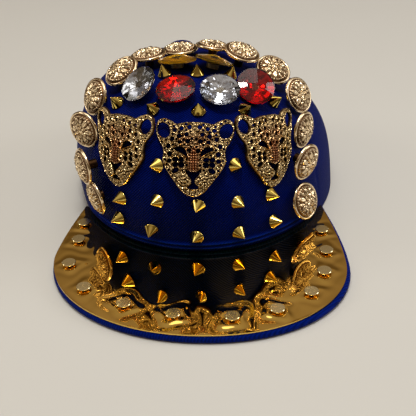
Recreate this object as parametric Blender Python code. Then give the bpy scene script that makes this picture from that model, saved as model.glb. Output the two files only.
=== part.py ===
"""Snapback cap dressed with a mirror plate, rivets, cone spikes, medallions, crystals and leopard heads.

Metres, +Z up, the front of the cap towards -Y. The origin is the middle of the footprint, on the
surface that the cap rests on. A place on the crown is given by its bearing, in degrees round the
cap from the front and growing towards +X, and its climb, in degrees from the rim to the top.
"""

from collections import namedtuple
from math import atan2, cos, degrees, exp, pi, radians, sin, tan

import bpy
from mathutils import Matrix, Vector
from mathutils.bvhtree import BVHTree
from mathutils.geometry import delaunay_2d_cdt

# A place on the crown, and how a piece there tips up, round and about its own axis, in degrees
Place = namedtuple("Place", "bearing climb nod swing roll", defaults=(0, 0, 0))

# A ring of a turned piece, as shares of its radius and height; one with no radius is a tip
Ring = namedtuple("Ring", "radius height")
TURNED_SIDES = 12
SOFT_EDGE_DEGREES = 35
CAST_EDGE_DEGREES = 20
CUT_EDGE_DEGREES = 5

# Crown
BAND_WIDTH = 0.168
BAND_LENGTH = 0.200
CROWN_HEIGHT = 0.091
FRONT_SQUARENESS = 3.0
SIDE_SQUARENESS = 2.4
BACK_SQUARENESS = 1.9
TOP_FORWARD = 0.0092
TOP_LEFTWARD = 0.0117
FABRIC = 0.002
CROWN_FACETS_ROUND = 44
CROWN_FACETS_UP = 12

# A soft bulge: where it is, how far it reaches, in degrees, and its push as a share of the band's width
Bulge = namedtuple("Bulge", "bearing climb reach_round reach_up push")
BULGES = (Bulge(97, 28, 30, 20, 0.028),)

# Rear opening, strap and top button
ARCH_WIDTH = 0.066
ARCH_HEIGHT = 0.042
STRAP_HEIGHT = 0.017
STRAP_RAISE = 0.001
STRAP_THICKNESS = 0.0016
STRAP_LAP = 0.013
STRAP_FACETS = 14
ARCH_FACETS = 14
BUTTON_RADIUS = 0.0072
BUTTON_HEIGHT = 0.0042
BUTTON_PROFILE = (Ring(1, 0), Ring(1, 0.3), Ring(0.75, 0.8), Ring(0, 1))
BUTTON_PLACE = Place(190, 76)

# Brim, and the mirror plate on it
BRIM_REACH = 0.0775
BRIM_OVERHANG = 0.0013
BRIM_THICKNESS = 0.0042
BRIM_EDGE_ROUND = 0.0012
WIDEST_AHEAD = 0.0072
FRONT_SKEW = 0.0058
FRONT_CURVE_SHARE = 0.66
FRONT_CURVE_POWER = 2.10
SIDE_CURVE_POWER = 1.5
CORNER_BEARING = 60.5
CORNER_WIDTH = 0.0026
PLATE_THICKNESS = 0.0007
PLATE_MARGIN = 0.0014
PLATE_LEFTWARD = 0.0008
BRIM_FACETS = 36

# Clearances
CLEARANCE = 0.0003
SEAT_GAP = 0.0004

# Rivets along the plate's edge
RIVET_RADIUS = 0.0040
RIVET_HEIGHT = 0.0017
RIVET_PROFILE = (Ring(1, 0), Ring(1, 0.45), Ring(0.72, 1))
RIVET_EDGE = 0.0120
# Where each rivet is along the brim, and how far inside the plate's edge, as a share of RIVET_EDGE
Rivet = namedtuple("Rivet", "along inset")
RIVETS = (
    Rivet(-0.83, 0.90),
    Rivet(-0.70, 1.25),
    Rivet(-0.57, 0.90),
    Rivet(-0.41, 0.90),
    Rivet(-0.24, 1.20),
    Rivet(-0.08, 1.20),
    Rivet(0.08, 1.05),
    Rivet(0.22, 1.00),
    Rivet(0.37, 1.05),
    Rivet(0.50, 1.25),
    Rivet(0.63, 1.25),
    Rivet(0.77, 1.05),
)

# Cone spikes, in rows from the brim up, each leaning a little as the cloth lets it
SPIKE_RADIUS = 0.0042
SPIKE_HEIGHT = 0.0069
SPIKE_LIP = 0.0007
SPIKE_PROFILE = (Ring(0.92, 0), Ring(1, SPIKE_LIP / SPIKE_HEIGHT), Ring(0, 1))
SPIKES = (
    Place(-32.5, 12, 8, -5),
    Place(-17.5, 12, -12, 8),
    Place(0.5, 10, 9, -16),
    Place(16.5, 10.5, -8, 14),
    Place(31.5, 10.5, 16, 16),
    Place(-12.5, 23.5, 5, -14),
    Place(18.5, 22, -6, 13),
    Place(-11, 35.5, -4, -18),
    Place(21.2, 34.3, -12, 6),
    Place(-43, 53, -7, 8),
    Place(-15.5, 54, -16, -10),
    Place(11, 53.5, 2, -5),
    Place(37.5, 50.5, -16, -6),
    Place(59.5, 48.5, -15, -7),
    Place(-20, 71.5, -3, -9),
    Place(21, 72, 1, -5),
    Place(51.5, 65.5, -2, 3),
)

# Medallions on shanks, from the left rim over the top to the right rim
MEDALLION_RADIUS = 0.0112
MEDALLION_RIM = 0.0016
MEDALLION_SHANK_RADIUS = 0.0028
MEDALLION_PETALS = 6
# Heights of the shank and rim from the disc's middle, as shares of half the rim's thickness
MEDALLION_SHANK_TOP = -1.4
MEDALLION_PROFILE = (Ring(1, -0.6), Ring(0.95, 1), Ring(0.84, 0.4))
# Heights of the domed face from there, as shares of its own height
MEDALLION_DOME = 0.0036
MEDALLION_SHOULDER = Ring(0.72, 0.58)
MEDALLION_PETAL_TIP = Ring(0.45, 0.94)
MEDALLION_PETAL_VALLEY = Ring(0.45, 0.78)
MEDALLION_BOSS = Ring(0, 1)
# Where each medallion sits, and how far its middle stands off the cloth, as a share of MEDALLION_STAND
MEDALLION_STAND = 0.0090
Medallion = namedtuple("Medallion", "place stand")
MEDALLIONS = (
    Medallion(Place(-41.5, 18.5, -7, -10), 0.50),
    Medallion(Place(-45.5, 28.5, -12, -6), 0.89),
    Medallion(Place(-53, 39.5, -27, 32), 0.50),
    Medallion(Place(-56, 50, -23, 17), 0.78),
    Medallion(Place(-55.5, 62.5, -10, 12), 0.78),
    Medallion(Place(-61.5, 74.5, 2, -3), 0.72),
    Medallion(Place(-76, 88.5, -3, -2), 0.45),
    Medallion(Place(86, 78, -2, 11), 0.72),
    Medallion(Place(76.5, 67, -1, -7), 1.03),
    Medallion(Place(79.5, 55, 6, -24), 0.72),
    Medallion(Place(73.5, 44, -17, -22), 0.72),
    Medallion(Place(59.5, 35.5, -32, -8), 0.61),
    Medallion(Place(50.5, 27, -25, -6), 0.89),
    Medallion(Place(47, 13.5, 12, 0), 0.50),
)

# Cut stones, each fused to the cup that it is set in
CRYSTAL_RADIUS = 0.0116
CRYSTAL_CROWN = 0.0034
CRYSTAL_SETTING = 0.0040
CRYSTAL_STEM_SHARE = 0.55
CRYSTAL_FACETS = 12
CRYSTAL_GIRDLE = Ring(1, 0.16)
CRYSTAL_STAR = Ring(0.62, 0.72)
CRYSTAL_TABLE = Ring(0.26, 1)
# Where each stone sits, and how far its girdle stands off the cloth, as a share of CRYSTAL_STAND
CRYSTAL_STAND = 0.0060
Crystal = namedtuple("Crystal", "name colour place stand")
CRYSTALS = (
    Crystal("crystal_clear_left", "clear", Place(-29.5, 60.5, -20, -5), 1.00),
    Crystal("crystal_red_left", "red", Place(-2, 60, 0, -5), 1.00),
    Crystal("crystal_clear_right", "clear", Place(26.5, 58, 0, -10), 1.00),
    Crystal("crystal_red_right", "red", Place(50.5, 55, -5, -25), 1.00),
    Crystal("crystal_amber_left", "amber", Place(-7.5, 77.5, 14, -5), 0.75),
    Crystal("crystal_amber_right", "amber", Place(45, 72.5, 0, 21), 0.82),
)

# Pierced leopard heads: their drawing is in shares of the half width across and half height up
HEAD_WIDTH = 0.0440
HEAD_HEIGHT = 0.0440
HEAD_METAL = 0.0016
HEAD_DOME = 0.0030
HEAD_NOSE = 0.0022
HEAD_BEND_RADIUS = 0.110
HEAD_DOME_SPAN = 1.12
# A swelling on the middle line: its place, its reach each way and its share of HEAD_NOSE
Swell = namedtuple("Swell", "up reach_across reach_up share")
HEAD_RIDGE = Swell(-0.12, 0.16, 0.34, 1.0)
HEAD_MUZZLE = Swell(-0.56, 0.34, 0.20, 0.8)
# Where each head sits, the bearing and lean of the spike below its chin, and how far the head reaches
# down to that spike along the cloth, as a share of half of HEAD_HEIGHT
CHIN_GAP = 0.0008
Head = namedtuple("Head", "name place chin_bearing chin_nod chin_swing chin_reach")
HEADS = (
    Head("leopard_head_left", Place(-29.8, 38.5, -10, 0, 7), -29, 2, -12, 1.08),
    Head("leopard_head_middle", Place(4.9, 38.2, 0, -6, -1.5), 3.5, -14, -14, 0.97),
    Head("leopard_head_right", Place(38.4, 36, -13, -1, -11.5), 33, -4, 10, 0.94),
)
Mark = namedtuple("Mark", "across up")
HEAD_HALF_OUTLINE = (
    Mark(0.21, 0.89),
    Mark(0.46, 0.85),
    Mark(0.58, 0.92),
    Mark(0.78, 0.99),
    Mark(0.94, 0.93),
    Mark(1.00, 0.77),
    Mark(0.98, 0.58),
    Mark(0.90, 0.39),
    Mark(0.81, 0.24),
    Mark(0.79, 0.08),
    Mark(0.81, -0.06),
    Mark(0.76, -0.22),
    Mark(0.65, -0.40),
    Mark(0.51, -0.59),
    Mark(0.375, -0.77),
    Mark(0.22, -0.92),
)
HEAD_CROWN_UP = 0.89
HEAD_CHIN_UP = -1.0
HEAD_EYE = (
    Mark(0.17, 0.03),
    Mark(0.29, 0.10),
    Mark(0.48, 0.19),
    Mark(0.42, 0.25),
    Mark(0.32, 0.25),
    Mark(0.22, 0.17),
)
HEAD_HALF_MOUTH = (
    Mark(0.20, -0.31),
    Mark(0.12, -0.46),
    Mark(0.045, -0.56),
    Mark(0.045, -0.66),
    Mark(0.14, -0.76),
)
HEAD_NOSE_TIP_UP = -0.39
HEAD_LIP_UP = -0.79
# Points inside the metal that follow its relief: the nose ridge, the brows, the cheeks and the muzzle
HEAD_HEIGHTS = (
    Mark(0.07, 0.02),
    Mark(0.08, -0.14),
    Mark(0.07, -0.28),
    Mark(0.17, -0.14),
    Mark(0.20, 0.30),
    Mark(0.46, 0.32),
    Mark(0.24, -0.45),
    Mark(0.20, -0.62),
    Mark(0.36, -0.52),
)
# A hole: its middle, its half sizes, how far it leans in degrees, and its sides
Hole = namedtuple("Hole", "across up half_across half_up lean sides")
HEAD_EAR = Hole(0.79, 0.68, 0.150, 0.195, 28, 10)
HEAD_SPOTS = (
    Hole(0.13, 0.76, 0.050, 0.045, 0, 5),
    Hole(0.33, 0.72, 0.045, 0.045, 0, 5),
    Hole(0.50, 0.68, 0.050, 0.040, 0, 5),
    Hole(0.20, 0.57, 0.045, 0.045, 0, 5),
    Hole(0.38, 0.53, 0.050, 0.045, 0, 5),
    Hole(0.56, 0.46, 0.045, 0.050, 0, 5),
    Hole(0.16, 0.40, 0.050, 0.050, 0, 6),
    Hole(0.36, 0.38, 0.045, 0.035, 0, 5),
    Hole(0.65, 0.28, 0.045, 0.055, 0, 5),
    Hole(0.11, 0.16, 0.045, 0.050, 0, 5),
    Hole(0.61, 0.08, 0.050, 0.055, 0, 5),
    Hole(0.32, -0.08, 0.055, 0.050, 0, 5),
    Hole(0.48, -0.07, 0.050, 0.050, 0, 5),
    Hole(0.32, -0.21, 0.060, 0.050, 0, 5),
    Hole(0.49, -0.24, 0.060, 0.045, 20, 5),
)

# Colours, as linear red, green and blue
Look = namedtuple("Look", "colour metallic roughness transmission")
LOOKS = {
    "blue_twill": Look((0.008, 0.022, 0.180), 0.0, 0.85, 0.0),
    "gold_mirror": Look((0.780, 0.480, 0.150), 1.0, 0.04, 0.0),
    "pale_rivet": Look((0.700, 0.620, 0.380), 1.0, 0.20, 0.0),
    "brass": Look((0.720, 0.480, 0.100), 1.0, 0.22, 0.0),
    "rose_gold": Look((0.800, 0.560, 0.420), 1.0, 0.25, 0.0),
    "antique_gold": Look((0.450, 0.290, 0.120), 1.0, 0.35, 0.0),
    "clear": Look((0.900, 0.920, 0.950), 0.0, 0.03, 0.6),
    "red": Look((0.600, 0.008, 0.010), 0.0, 0.03, 0.5),
    "amber": Look((0.850, 0.380, 0.010), 0.0, 0.03, 0.5),
    "blue_plastic": Look((0.006, 0.015, 0.120), 0.0, 0.45, 0.0),
}

# Steps for slopes, in degrees, and for points of a drawing that count as one
DEGREE_STEP = 0.1
SAME_POINT = 1e-6

# How far a flat facet of the crown lies inside its curve, and what follows from it
CROWN_SAGITTA = pi**2 * BAND_WIDTH / (4 * CROWN_FACETS_ROUND**2)
STRAP_DEPTH = FABRIC + CLEARANCE + CROWN_SAGITTA
BAND_FORWARD = (BRIM_REACH + STRAP_DEPTH) / 2


def clear_scene():
    """Remove every object that the scene starts with."""
    for item in list(bpy.data.objects):
        bpy.data.objects.remove(item, do_unlink=True)


def material(name):
    """The Principled material of this name, made on first use."""
    found = bpy.data.materials.get(name)
    if found:
        return found
    look = LOOKS[name]
    made = bpy.data.materials.new(name)
    made.use_nodes = True
    shader = made.node_tree.nodes["Principled BSDF"]
    shader.inputs["Base Color"].default_value = (*look.colour, 1.0)
    shader.inputs["Metallic"].default_value = look.metallic
    shader.inputs["Roughness"].default_value = look.roughness
    shader.inputs["Transmission Weight"].default_value = look.transmission
    made.diffuse_color = (*look.colour, 1.0)
    return made


def add_object(name, points, faces, look, sharp_degrees=SOFT_EDGE_DEGREES):
    """A mesh object in the scene, shaded smooth up to the given edge angle."""
    mesh = bpy.data.meshes.new(name)
    mesh.from_pydata([tuple(p) for p in points], [], faces)
    mesh.validate()
    mesh.shade_smooth()
    mesh.set_sharp_from_angle(angle=radians(sharp_degrees))
    mesh.materials.append(material(look))
    made = bpy.data.objects.new(name, mesh)
    bpy.context.scene.collection.objects.link(made)
    return made


def lofted(rings):
    """Points and faces of a closed body through rings of equal count, capped at both ends.

    An end ring of one point is a tip.
    """
    points = [point for ring in rings for point in ring]
    faces = []
    start = 0
    for ring, after in zip(rings, rings[1:]):
        following = start + len(ring)
        sides = max(len(ring), len(after))
        for i in range(sides):
            j = (i + 1) % sides
            if len(after) == 1:
                faces.append((start + i, start + j, following))
            elif len(ring) == 1:
                faces.append((start, following + j, following + i))
            else:
                faces.append((start + i, start + j, following + j, following + i))
        start = following
    if len(rings[0]) > 1:
        faces.append(tuple(reversed(range(len(rings[0])))))
    if len(rings[-1]) > 1:
        faces.append(tuple(range(start, start + len(rings[-1]))))
    return points, faces


def circle(radius, height, sides, turn=0.0):
    """A ring of points about +Z."""
    steps = [2 * pi * (i + turn) / sides for i in range(sides)]
    return [Vector((radius * cos(a), radius * sin(a), height)) for a in steps]


def turned(profile, radius, height):
    """Rings of a turned piece about +Z, from its profile."""
    rings = []
    for ring in profile:
        if ring.radius > 0:
            rings.append(circle(radius * ring.radius, height * ring.height, TURNED_SIDES))
        else:
            rings.append([Vector((0, 0, height * ring.height))])
    return rings


def squareness(bearing):
    """The power of the crown's profile at this bearing, in degrees."""
    facing = cos(radians(bearing))
    end = FRONT_SQUARENESS if facing > 0 else BACK_SQUARENESS
    return SIDE_SQUARENESS + (end - SIDE_SQUARENESS) * facing**2


def crown_point(bearing, climb):
    """A point on the crown's outer face."""
    power = squareness(bearing)
    turn, rise = radians(bearing), radians(climb)
    flat, tall = abs(cos(rise)), abs(sin(rise))
    scale = (flat**power + tall**power) ** (-1 / power)
    flat, tall = flat * scale, tall * scale
    swell = 0.0
    for bulge in BULGES:
        round_part = ((bearing + 180 - bulge.bearing) % 360 - 180) / bulge.reach_round
        up_part = (climb - bulge.climb) / bulge.reach_up
        swell += bulge.push * BAND_WIDTH * exp(-(round_part**2) - up_part**2)
    across = (BAND_WIDTH / 2 * flat + swell) * sin(turn) - TOP_LEFTWARD * tall
    along = -(BAND_LENGTH / 2 * flat + swell) * cos(turn) - TOP_FORWARD * tall
    return Vector((across, along + BAND_FORWARD, CROWN_HEIGHT * tall))


def crown_normal(bearing, climb):
    """The direction out of the crown's outer face."""
    climb = min(climb, 90 - 2 * DEGREE_STEP)
    round_way = crown_point(bearing + DEGREE_STEP, climb) - crown_point(bearing - DEGREE_STEP, climb)
    up_way = crown_point(bearing, climb + DEGREE_STEP) - crown_point(bearing, climb)
    return round_way.cross(up_way).normalized()


def crown_at(bearing, climb, depth):
    """A point this deep under the crown's outer face, level with it at the rim."""
    outward = crown_normal(bearing, climb)
    if climb <= 0:
        outward.z = 0
        outward.normalize()
    return crown_point(bearing, climb) - outward * depth


def climb_at(bearing, height):
    """The climb at which the crown's face is this high."""
    power = squareness(bearing)
    tall = height / CROWN_HEIGHT
    flat = (1 - tall**power) ** (1 / power)
    return degrees(atan2(tall, flat))


def climb_below(bearing, climb, drop):
    """The climb, on the same bearing, of the point that lies the drop below the one at this climb."""
    start = crown_point(bearing, climb)
    low, high = 0.0, climb
    while high - low > DEGREE_STEP / 2:
        middle = (low + high) / 2
        if (crown_point(bearing, middle) - start).length > drop:
            low = middle
        else:
            high = middle
    return high


def crown_grid(depth):
    """Rings from the rim up and the top point, this deep under the crown's outer face."""
    rings = []
    for row in range(CROWN_FACETS_UP):
        climb = 90 * row / CROWN_FACETS_UP
        bearings = [360 * i / CROWN_FACETS_ROUND for i in range(CROWN_FACETS_ROUND)]
        rings.append([crown_at(bearing, climb, depth) for bearing in bearings])
    rings.append([crown_point(0, 90) - Vector((0, 0, depth))])
    return rings


def crown_surface():
    """The crown's outer face, for pieces to be seated on."""
    points, faces = lofted(crown_grid(0.0))
    return BVHTree.FromPolygons(points, faces)


def arch_cutter():
    """The half-moon opening at the back of the crown, as a prism that runs through the wall."""
    inside = BAND_FORWARD + BAND_LENGTH / 4
    outside = BAND_FORWARD + BAND_LENGTH
    rings = []
    for along in (inside, outside):
        ring = [Vector((-ARCH_WIDTH / 2, along, -FABRIC)), Vector((ARCH_WIDTH / 2, along, -FABRIC))]
        for i in range(ARCH_FACETS + 1):
            turn = pi * i / ARCH_FACETS
            ring.append(Vector((ARCH_WIDTH / 2 * cos(turn), along, ARCH_HEIGHT * sin(turn))))
        rings.append(ring[::-1])
    points, faces = lofted(rings)
    cutter = add_object("arch_cutter", points, faces, "blue_twill")
    cutter.hide_render = True
    cutter.display_type = "WIRE"
    return cutter


def add_crown():
    """The hollow cloth crown, open below and cut by the rear arch."""
    outer = crown_grid(0.0)
    inner = crown_grid(FABRIC)
    points, faces = lofted([inner[-1], *inner[-2::-1], *outer])
    crown = add_object("crown", points, faces, "blue_twill")
    cut = crown.modifiers.new("rear_arch", "BOOLEAN")
    cut.operation = "DIFFERENCE"
    cut.solver = "EXACT"
    cut.object = arch_cutter()


def add_strap():
    """The closing strap, inside the crown's wall across the foot of the rear arch."""
    half_turn = degrees((ARCH_WIDTH / 2 + STRAP_LAP) / (BAND_WIDTH / 2))
    far = STRAP_DEPTH + STRAP_THICKNESS
    rings = []
    for i in range(STRAP_FACETS + 1):
        bearing = 180 + half_turn - 2 * half_turn * i / STRAP_FACETS
        low = climb_at(bearing, STRAP_RAISE)
        high = climb_at(bearing, STRAP_RAISE + STRAP_HEIGHT)
        rings.append(
            [
                crown_at(bearing, low, STRAP_DEPTH),
                crown_at(bearing, high, STRAP_DEPTH),
                crown_at(bearing, high, far),
                crown_at(bearing, low, far),
            ]
        )
    add_object("snap_strap", *lofted(rings), "blue_plastic")


def brim_inner(along, gap, height):
    """A point this far off the crown's wall, along running from -1 to 1 round the brim."""
    bearing = CORNER_BEARING * along
    point = crown_at(bearing, climb_at(bearing, height), -gap)
    point.z = height
    return point


def brim_outer(along, inset, height):
    """A point on the brim's free edge, or inside it by the inset, along running from -1 to 1.

    The front is pushed towards +X, the more the further ahead it is of the widest place.
    """
    half = BAND_WIDTH / 2 + BRIM_OVERHANG - inset
    root = BAND_FORWARD - BAND_LENGTH / 2
    front = root - BRIM_REACH + inset
    widest = root - WIDEST_AHEAD
    corner = BAND_WIDTH / 2 * sin(radians(CORNER_BEARING)) + CORNER_WIDTH - inset / 2
    corner_up = BAND_FORWARD - BAND_LENGTH / 2 * cos(radians(CORNER_BEARING))
    part = abs(along) / FRONT_CURVE_SHARE
    ahead = 0.0
    if part < 1:
        across = half * sin(part * pi / 2) ** (2 / FRONT_CURVE_POWER)
        ahead = cos(part * pi / 2) ** (2 / FRONT_CURVE_POWER)
        up = widest - (widest - front) * ahead
    else:
        part = (abs(along) - FRONT_CURVE_SHARE) / (1 - FRONT_CURVE_SHARE)
        across = half - (half - corner) * part**SIDE_CURVE_POWER
        up = widest + (corner_up - widest) * part
    aside = across if along > 0 else -across
    return Vector((aside + FRONT_SKEW * ahead, up, height))


def along_steps():
    """The stations along the brim, from the right corner to the left one."""
    return [1 - 2 * i / BRIM_FACETS for i in range(BRIM_FACETS + 1)]


def add_brim():
    """The flat cloth-covered brim, with its free edge rounded."""
    rings = []
    for along in along_steps():
        inner = brim_inner(along, CLEARANCE, 0.0)
        outer = brim_outer(along, 0.0, 0.0)
        depth = inner - outer
        inward = depth.normalized() * min(BRIM_EDGE_ROUND, depth.length / 3)
        rings.append(
            [
                inner,
                outer + inward,
                brim_outer(along, 0.0, BRIM_EDGE_ROUND),
                brim_outer(along, 0.0, BRIM_THICKNESS - BRIM_EDGE_ROUND),
                outer + inward + Vector((0, 0, BRIM_THICKNESS)),
                brim_inner(along, CLEARANCE, BRIM_THICKNESS),
            ]
        )
    add_object("brim", *lofted(rings), "blue_twill")


def plate_edge(along, height):
    """A point on the plate's free edge: the plate lies a little to one side on the brim."""
    return brim_outer(along, PLATE_MARGIN, height) - Vector((PLATE_LEFTWARD, 0, 0))


def add_plate():
    """The mirror plate that lies on the brim, a little inside its edge."""
    low = BRIM_THICKNESS + CLEARANCE
    high = low + PLATE_THICKNESS
    gap = 2 * CLEARANCE
    rings = []
    for along in along_steps():
        rings.append(
            [
                brim_inner(along, gap, low),
                plate_edge(along, low),
                plate_edge(along, high),
                brim_inner(along, gap, high),
            ]
        )
    add_object("brim_plate", *lofted(rings), "gold_mirror")


def add_rivets():
    """The domed rivet heads that hold the plate to the brim."""
    foot = BRIM_THICKNESS + PLATE_THICKNESS + 2 * CLEARANCE
    points, faces = lofted(turned(RIVET_PROFILE, RIVET_RADIUS, RIVET_HEIGHT))
    for number, rivet in enumerate(RIVETS, 1):
        edge = plate_edge(rivet.along, foot)
        inward = (brim_inner(rivet.along, 0, foot) - edge).normalized()
        made = add_object(f"rivet_{number:02d}", points, faces, "pale_rivet")
        made.location = edge + inward * RIVET_EDGE * rivet.inset


def tangents(out):
    """Directions across and up a surface that faces out."""
    across = Vector((0, 0, 1)).cross(out).normalized()
    return across, out.cross(across)


def place_axes(place):
    """The axes of a piece at this place: across, up and out."""
    out = crown_normal(place.bearing, place.climb)
    across, up = tangents(out)
    out = (out + up * tan(radians(place.nod)) + across * tan(radians(place.swing))).normalized()
    across, up = tangents(out)
    roll = radians(place.roll)
    return across * cos(roll) + up * sin(roll), up * cos(roll) - across * sin(roll), out


def seat(name, body, look, place, stand, surface, sharp_degrees=SOFT_EDGE_DEGREES):
    """Add a piece drawn about its own middle, slid along its axis until it just clears the cloth."""
    points, faces = body
    across, up, out = place_axes(place)
    start = crown_point(place.bearing, place.climb) + crown_normal(place.bearing, place.climb) * stand
    far = out * CROWN_HEIGHT / 2
    middles = [sum((points[i] for i in face), Vector()) / len(face) for face in faces]
    reaches = []
    for point in [*points, *middles]:
        turned = across * point.x + up * point.y + out * point.z
        reach = surface.ray_cast(start + turned + far, -out, CROWN_HEIGHT)[3]
        if reach is not None:
            reaches.append(reach)
    made = add_object(name, points, faces, look, sharp_degrees)
    matrix = Matrix((across, up, out)).transposed().to_4x4()
    matrix.translation = start + far - out * (min(reaches) - SEAT_GAP)
    made.matrix_world = matrix


def add_button(surface):
    """The covered button where the crown's seams meet."""
    body = lofted(turned(BUTTON_PROFILE, BUTTON_RADIUS, BUTTON_HEIGHT))
    seat("top_button", body, "blue_twill", BUTTON_PLACE, 0.0, surface)


def add_spikes(surface):
    """Cone spikes, each with a narrow lip at its foot."""
    body = lofted(turned(SPIKE_PROFILE, SPIKE_RADIUS, SPIKE_HEIGHT))
    places = list(SPIKES)
    for head in HEADS:
        drop = HEAD_HEIGHT / 2 * head.chin_reach + CHIN_GAP + SPIKE_RADIUS
        climb = climb_below(head.chin_bearing, head.place.climb, drop)
        places.append(Place(head.chin_bearing, climb, head.chin_nod, head.chin_swing))
    for number, place in enumerate(places, 1):
        seat(f"spike_{number:02d}", body, "brass", place, 0.0, surface)


def medallion_rings(stand):
    """A medallion about the middle of its disc: shank, raised rim and a dome with a petalled rosette."""
    sides = 2 * MEDALLION_PETALS
    half = MEDALLION_RIM / 2
    rings = [
        circle(MEDALLION_SHANK_RADIUS, -stand, sides),
        circle(MEDALLION_SHANK_RADIUS, half * MEDALLION_SHANK_TOP, sides),
    ]
    for ring in MEDALLION_PROFILE:
        rings.append(circle(MEDALLION_RADIUS * ring.radius, half * ring.height, sides))
    shoulder, tips, valleys = [
        circle(MEDALLION_RADIUS * ring.radius, MEDALLION_DOME * ring.height, sides)
        for ring in (MEDALLION_SHOULDER, MEDALLION_PETAL_TIP, MEDALLION_PETAL_VALLEY)
    ]
    rings.append(shoulder)
    rings.append([tips[i] if i % 2 else valleys[i] for i in range(sides)])
    rings.append([Vector((0, 0, MEDALLION_DOME * MEDALLION_BOSS.height))])
    return rings


def add_medallions(surface):
    """Cast medallions that stand off the cloth on their shanks."""
    for number, row in enumerate(MEDALLIONS, 1):
        stand = MEDALLION_STAND * row.stand
        body = lofted(medallion_rings(stand))
        seat(f"medallion_{number:02d}", body, "rose_gold", row.place, stand, surface, CAST_EDGE_DEGREES)


def crystal_rings(stand):
    """A round cut stone about its girdle: cup and stem below, facets and table above."""
    sides = CRYSTAL_FACETS
    girdle = CRYSTAL_CROWN * CRYSTAL_GIRDLE.height
    return [
        circle(CRYSTAL_SETTING, -stand, sides),
        circle(CRYSTAL_SETTING, -stand * CRYSTAL_STEM_SHARE, sides),
        circle(CRYSTAL_RADIUS, -girdle, sides),
        circle(CRYSTAL_RADIUS, girdle, sides),
        circle(CRYSTAL_RADIUS * CRYSTAL_STAR.radius, CRYSTAL_CROWN * CRYSTAL_STAR.height, sides, 0.5),
        circle(CRYSTAL_RADIUS * CRYSTAL_TABLE.radius, CRYSTAL_CROWN, sides),
    ]


def add_crystals(surface):
    """Large round cut stones in low cups."""
    for row in CRYSTALS:
        stand = CRYSTAL_STAND * row.stand
        body = lofted(crystal_rings(stand))
        seat(row.name, body, row.colour, row.place, stand, surface, CUT_EDGE_DEGREES)


def mirrored(marks, top, bottom):
    """A closed loop from a right half, its mirror image and the points on the middle line."""
    right = [Vector((mark.across, mark.up)) for mark in marks]
    left = [Vector((-mark.across, mark.up)) for mark in reversed(marks)]
    return [Vector((0, top)), *right, Vector((0, bottom)), *left]


def hole_loop(hole, side):
    """The loop of one hole, on the right (1) or mirrored to the left (-1)."""
    loop = []
    lean = radians(hole.lean)
    for i in range(hole.sides):
        turn = 2 * pi * i / hole.sides
        across, up = hole.half_across * cos(turn), hole.half_up * sin(turn)
        x = hole.across + across * cos(lean) + up * sin(lean)
        y = hole.up - across * sin(lean) + up * cos(lean)
        loop.append(Vector((side * x, y)))
    return loop


def anticlockwise(loop):
    """The loop itself, or turned round so that it runs anticlockwise."""
    area = sum(loop[i - 1].cross(loop[i]) for i in range(len(loop)))
    return loop if area > 0 else loop[::-1]


def head_loops():
    """The outline of a head, then its openings, each anticlockwise."""
    loops = [mirrored(HEAD_HALF_OUTLINE, HEAD_CROWN_UP, HEAD_CHIN_UP)]
    loops.append(mirrored(HEAD_HALF_MOUTH, HEAD_NOSE_TIP_UP, HEAD_LIP_UP))
    for side in (-1, 1):
        loops.append([Vector((side * mark.across, mark.up)) for mark in HEAD_EYE])
        loops += [hole_loop(hole, side) for hole in (HEAD_EAR, *HEAD_SPOTS)]
    return [anticlockwise(loop) for loop in loops]


def head_relief(across, up):
    """Height of a head's front: a dome, a nose ridge and a muzzle, bent round the cap."""
    dome = HEAD_DOME * max(0.0, 1 - (across**2 + up**2) / HEAD_DOME_SPAN**2)
    nose = 0.0
    for swell in (HEAD_RIDGE, HEAD_MUZZLE):
        off = (across / swell.reach_across) ** 2 + ((up - swell.up) / swell.reach_up) ** 2
        nose = max(nose, HEAD_NOSE * swell.share * exp(-off))
    bend = (across * HEAD_WIDTH / 2) ** 2 / (2 * HEAD_BEND_RADIUS)
    return dome + nose - bend


def head_solid():
    """Points and faces of a pierced cast head, with the same thickness of metal all over."""
    flat, loops = [], []
    for loop in head_loops():
        loops.append([len(flat) + i for i in range(len(loop))])
        flat += loop
    flat += [Vector((side * mark.across, mark.up)) for mark in HEAD_HEIGHTS for side in (-1, 1)]
    flat, _, faces, _, _, owners = delaunay_2d_cdt(flat, [], loops, 1, SAME_POINT)
    metal = [face for face, owner in zip(faces, owners) if len(owner) == 1]
    count = len(flat)
    back = []
    for point in flat:
        height = head_relief(point.x, point.y)
        back.append(Vector((point.x * HEAD_WIDTH / 2, point.y * HEAD_HEIGHT / 2, height)))
    front = [point + Vector((0, 0, HEAD_METAL)) for point in back]
    faces = [tuple(reversed(face)) for face in metal]
    faces += [tuple(count + i for i in face) for face in metal]
    edges = {(face[i - 1], face[i]) for face in metal for i in range(3)}
    for start, end in edges:
        if (end, start) not in edges:
            faces.append((start, end, count + end, count + start))
    return back + front, faces


def add_heads(surface):
    """Three pierced leopard heads across the front."""
    body = head_solid()
    for row in HEADS:
        seat(row.name, body, "antique_gold", row.place, 0.0, surface)


def main():
    """Build the whole cap."""
    clear_scene()
    surface = crown_surface()
    add_crown()
    add_strap()
    add_brim()
    add_plate()
    add_rivets()
    add_button(surface)
    add_spikes(surface)
    add_medallions(surface)
    add_crystals(surface)
    add_heads(surface)


main()
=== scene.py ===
"""Looks of a snapback cap with a mirror plate, rivets, spikes, medallions, cut stones and leopard heads.

Metres, +Z up, the front of the cap towards -Y. A place on the crown is its bearing, in degrees round
the cap from the front and growing towards +X, and its climb, in degrees from the rim to the top.
"""

import logging
from dataclasses import dataclass, field
from enum import Enum
from functools import cached_property
from math import cos, degrees, pi, radians, sin, tan

import bpy
import numpy as np
import numpy.typing as npt
from mathutils import Matrix, Vector


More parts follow.
